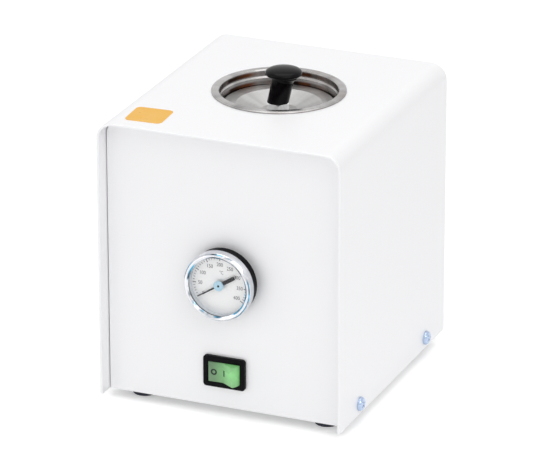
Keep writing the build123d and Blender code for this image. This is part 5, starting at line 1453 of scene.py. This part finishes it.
@dataclass
class LitSwitch:
    """Rocker switch with its plain O and I."""

    pivot: Point3 = (0.0, -59.6, 22.4)
    tilt: float = -15.0
    half_width: float = 7.8
    nose: float = 26.0
    middle: float = 1.2
    ring_radius: float = 1.55
    ring_width: float = 0.8
    bar_height: float = 3.0
    bar_width: float = 0.9
    ring_place: float = 0.62
    bar_place: float = 0.1

    def build(self) -> None:
        """Dresses the solids and prints the two legends."""
        dress(SWITCH_BLACK, "switch_body")
        dress(ROCKER_GREEN, "switch_rocker")
        dress(BRIGHT_STEEL, "switch_pivot")
        dress(WINDOW, "switch_lamp")
        dress(BRASS, "switch_terminals")
        self._legend("legend_off", -1, self.ring_place, self._ring_outline)
        self._legend("legend_on", 1, self.bar_place, self._bar_outline)

    def _face(self, side: int, share: float) -> Matrix:
        """Place on one half of the rocker's front, with local Z out of the face.

        Args:
            side: -1 for the left half, 1 for the right half.
            share: Share of the way from the middle to the end.

        Returns:
            The matrix in millimetres.
        """
        nose = math.radians(self.nose)
        end = Vector((side * self.half_width * math.cos(nose), -self.half_width * math.sin(nose), 0.0))
        mid = Vector((0.0, -self.middle, 0.0))
        spot = mid.lerp(end, share)
        across = (end - mid).normalized() * side
        out = across.cross(Vector((0.0, 0.0, 1.0)))
        local = Matrix((across, Vector((0.0, 0.0, 1.0)), out)).transposed().to_4x4()
        swing = Matrix.Rotation(math.radians(self.tilt), 4, "Z")
        return Matrix.Translation(self.pivot) @ swing @ Matrix.Translation(spot) @ local

    def _ring_outline(self, mesh: bmesh.types.BMesh) -> None:
        """Adds the ring of the off side."""
        inner, outer = self.ring_radius - self.ring_width, self.ring_radius
        outline = [(inner, -0.1), (outer, -0.1), (outer, 0.04), (inner, 0.04)]
        Mesher.add_turned(mesh, outline, Matrix.Identity(4), 40)

    def _bar_outline(self, mesh: bmesh.types.BMesh) -> None:
        """Adds the bar of the on side."""
        size = Matrix.Diagonal((self.bar_width, self.bar_height, 0.14, 1.0))
        bmesh.ops.create_cube(mesh, size=1.0, matrix=Matrix.Translation((0, 0, -0.03)) @ size)

    def _legend(self, name: str, side: int, share: float, outline: Callable) -> None:
        """Prints one legend on the rocker.

        Args:
            name: Name of the piece.
            side: Half of the rocker.
            share: Share of the way to the end.
            outline: Method that adds the shape.
        """
        mesh = bmesh.new()
        outline(mesh)
        bmesh.ops.transform(mesh, matrix=self._face(side, share), verts=mesh.verts)
        stand_in(Mesher.finish(name, mesh, INK_GREEN), Body.ROCKER)


@dataclass
class MainsInlet:
    """Inlet, fuse drawer and their fasteners at the rear."""

    screw_x: float = 20.0
    face_y: float = 62.0
    axis_z: float = 31.0
    screw: Screw = field(default_factory=lambda: Screw(2.8, 1.7, 1.5, 9.0, 0.7, 0.8))

    def build(self, copies: bpy.types.NodeTree) -> None:
        """Dresses the solids and sets the two screws.

        Args:
            copies: Tree that sets copies at marks.
        """
        dress(SWITCH_BLACK, "inlet_body", "fuse_drawer")
        dress(BRASS, "inlet_pins")
        dress(WINDOW, "fuses")
        marks = [((side * self.screw_x, self.face_y, self.axis_z), (0.0, 1.0, 0.0)) for side in (-1, 1)]
        piece = self.screw.build("inlet_screw", ZINC)
        values = {"Piece": piece, "Spin": 0.35, "Finish": ZINC.material()}
        baked = CopyTree.bake("inlet_screws_set", marks_object("inlet_marks", marks), copies, values)
        bpy.data.objects.remove(piece)
        stand_in(baked, Body.CASING, "inlet_screws")


@dataclass
class HeaterCore:
    """Heating block, band, insulation, can and wiring inside the casing."""

    finishes: dict[str, Finish] = field(
        default_factory=lambda: {
            "heating_block": ALUMINIUM,
            "band_heater": HEATER_JACKET,
            "band_screw": ZINC,
            "insulation_sleeve": WOOL,
            "insulation_disc": WOOL,
            "heat_shield": GALVANISED,
            "shield_collar": GALVANISED,
            "lead_bushes": CERAMIC,
            "standoffs": ZINC,
            "standoff_screws": ZINC,
            "thermostat": PHENOLIC,
            "thermostat_bracket": GALVANISED,
            "thermostat_bulb": COPPER,
            "capillary": COPPER,
            "thermal_fuse": CERAMIC,
            "earth_stud": ZINC,
            "earth_tag": BRASS,
            "earth_nut": ZINC,
            "brown_wires": BROWN_WIRE,
            "blue_wires": BLUE_WIRE,
            "earth_wire": EARTH_WIRE,
        }
    )

    def build(self) -> None:
        """Dresses every inner solid."""
        for node, finish in self.finishes.items():
            dress(finish, node)


@dataclass
class Studio:
    """Pale floor, soft light and the camera."""

    camera_place: Point3 = (0.76814, -1.82635, 0.86124)
    right: Point3 = (0.921604, 0.388127, -0.001584)
    down: Point3 = (0.142028, -0.341036, -0.929259)
    forward: Point3 = (-0.361211, 0.856184, -0.369425)
    focal_pixels: float = 4560.0
    image_width: float = 540.0
    sensor: float = 36.0
    ambient: float = 0.45
    lamps: tuple = (
        ("key_lamp", (1.1, -1.0, 1.5), 1.6, 14.6),
        ("left_lamp", (-1.3, -1.2, 0.7), 1.4, 4.6),
        ("top_lamp", (-0.1, 0.3, 1.9), 1.5, 10.5),
    )

    def build(self) -> None:
        """Makes the floor, the light and the camera."""
        scene = bpy.context.scene
        scene.view_settings.view_transform = "Standard"
        self._floor()
        self._world(scene)
        for name, place, size, power in self.lamps:
            self._lamp(name, Vector(place), size, power)
        self._camera(scene)

    def _floor(self) -> None:
        """Lays the floor, white to the camera and with the object's shadow."""
        made = bpy.data.materials.new("pale_floor")
        made.use_nodes = True
        made.node_tree.nodes.clear()
        maker = TreeMaker(made.node_tree)
        place = maker.node("ShaderNodeTexCoord").outputs["Object"]
        cloud = maker.node("ShaderNodeTexNoise", {"Vector": place, "Scale": 3.0}).outputs[0]
        tone = maker.blend(cloud, (0.9, 0.9, 0.905), (0.93, 0.93, 0.93))
        matte = maker.node("ShaderNodeBsdfDiffuse", {"Color": tone}).outputs[0]
        paths = maker.node("ShaderNodeLightPath").outputs
        seen = maker.math("MAXIMUM", paths["Is Camera Ray"], paths["Is Glossy Ray"])
        seen = maker.math("MAXIMUM", seen, paths["Is Transmission Ray"])
        strength = maker.math("MULTIPLY", seen, 0.35)
        lift = maker.node("ShaderNodeEmission", {"Color": (1.0, 1.0, 1.0, 1.0), "Strength": strength}).outputs[0]
        both = maker.node("ShaderNodeAddShader", {0: matte, 1: lift}).outputs[0]
        maker.feed(maker.node("ShaderNodeOutputMaterial").inputs["Surface"], both)
        mesh = bmesh.new()
        bmesh.ops.create_grid(mesh, x_segments=8, y_segments=8, size=8.0)
        data = bpy.data.meshes.new("studio_floor")
        mesh.to_mesh(data)
        mesh.free()
        data.materials.append(made)
        floor = bpy.data.objects.new("studio_floor", data)
        bpy.context.scene.collection.objects.link(floor)

    def _world(self, scene: bpy.types.Scene) -> None:
        """Sets an even sky that is white to the camera.

        Args:
            scene: The scene.
        """
        world = bpy.data.worlds.new("soft_sky")
        world.use_nodes = True
        world.node_tree.nodes.clear()
        maker = TreeMaker(world.node_tree)
        paths = maker.node("ShaderNodeLightPath").outputs
        seen = maker.math("MAXIMUM", paths["Is Camera Ray"], paths["Is Glossy Ray"])
        seen = maker.math("MAXIMUM", seen, paths["Is Transmission Ray"])
        strength = maker.node(
            "ShaderNodeMapRange", {"Value": seen, "To Min": self.ambient, "To Max": 1.0}
        ).outputs[0]
        sky = maker.node("ShaderNodeBackground", {"Color": (1.0, 1.0, 1.0, 1.0), "Strength": strength})
        maker.feed(maker.node("ShaderNodeOutputWorld").inputs["Surface"], sky.outputs[0])
        scene.world = world

    @staticmethod
    def _lamp(name: str, place: Vector, size: float, power: float) -> None:
        """Hangs a square lamp that looks at the object.

        Args:
            name: Name of the lamp.
            place: Its place in metres.
            size: Its side in metres.
            power: Its power in watts.
        """
        data = bpy.data.lights.new(name, "AREA")
        data.size = size
        data.energy = power
        lamp = bpy.data.objects.new(name, data)
        lamp.location = place
        lamp.rotation_euler = (Vector((0.0, 0.0, 0.07)) - place).to_track_quat("-Z", "Y").to_euler()
        bpy.context.scene.collection.objects.link(lamp)

    def _camera(self, scene: bpy.types.Scene) -> None:
        """Places the camera at the photograph's view.

        Args:
            scene: The scene.
        """
        data = bpy.data.cameras.new("photo_view")
        data.sensor_width = self.sensor
        data.lens = self.focal_pixels / self.image_width * self.sensor
        data.clip_end = 50.0
        camera = bpy.data.objects.new("photo_view", data)
        right, down, forward = Vector(self.right), Vector(self.down), Vector(self.forward)
        turn = Matrix((right, -down, -forward)).transposed().to_4x4()
        camera.matrix_world = Matrix.Translation(self.camera_place) @ turn
        scene.collection.objects.link(camera)
        scene.camera = camera


def main() -> None:
    """Builds every sub-assembly in order."""
    logging.basicConfig(level=logging.INFO, format="%(name)s: %(message)s")
    copies = CopyTree.at_marks()
    Studio().build()
    Casing().build(copies)
    BeadWell().build()
    LooseLid().build()
    DialThermometer().build()
    LitSwitch().build()
    MainsInlet().build(copies)
    HeaterCore().build()


if __name__ == "__main__":
    main()
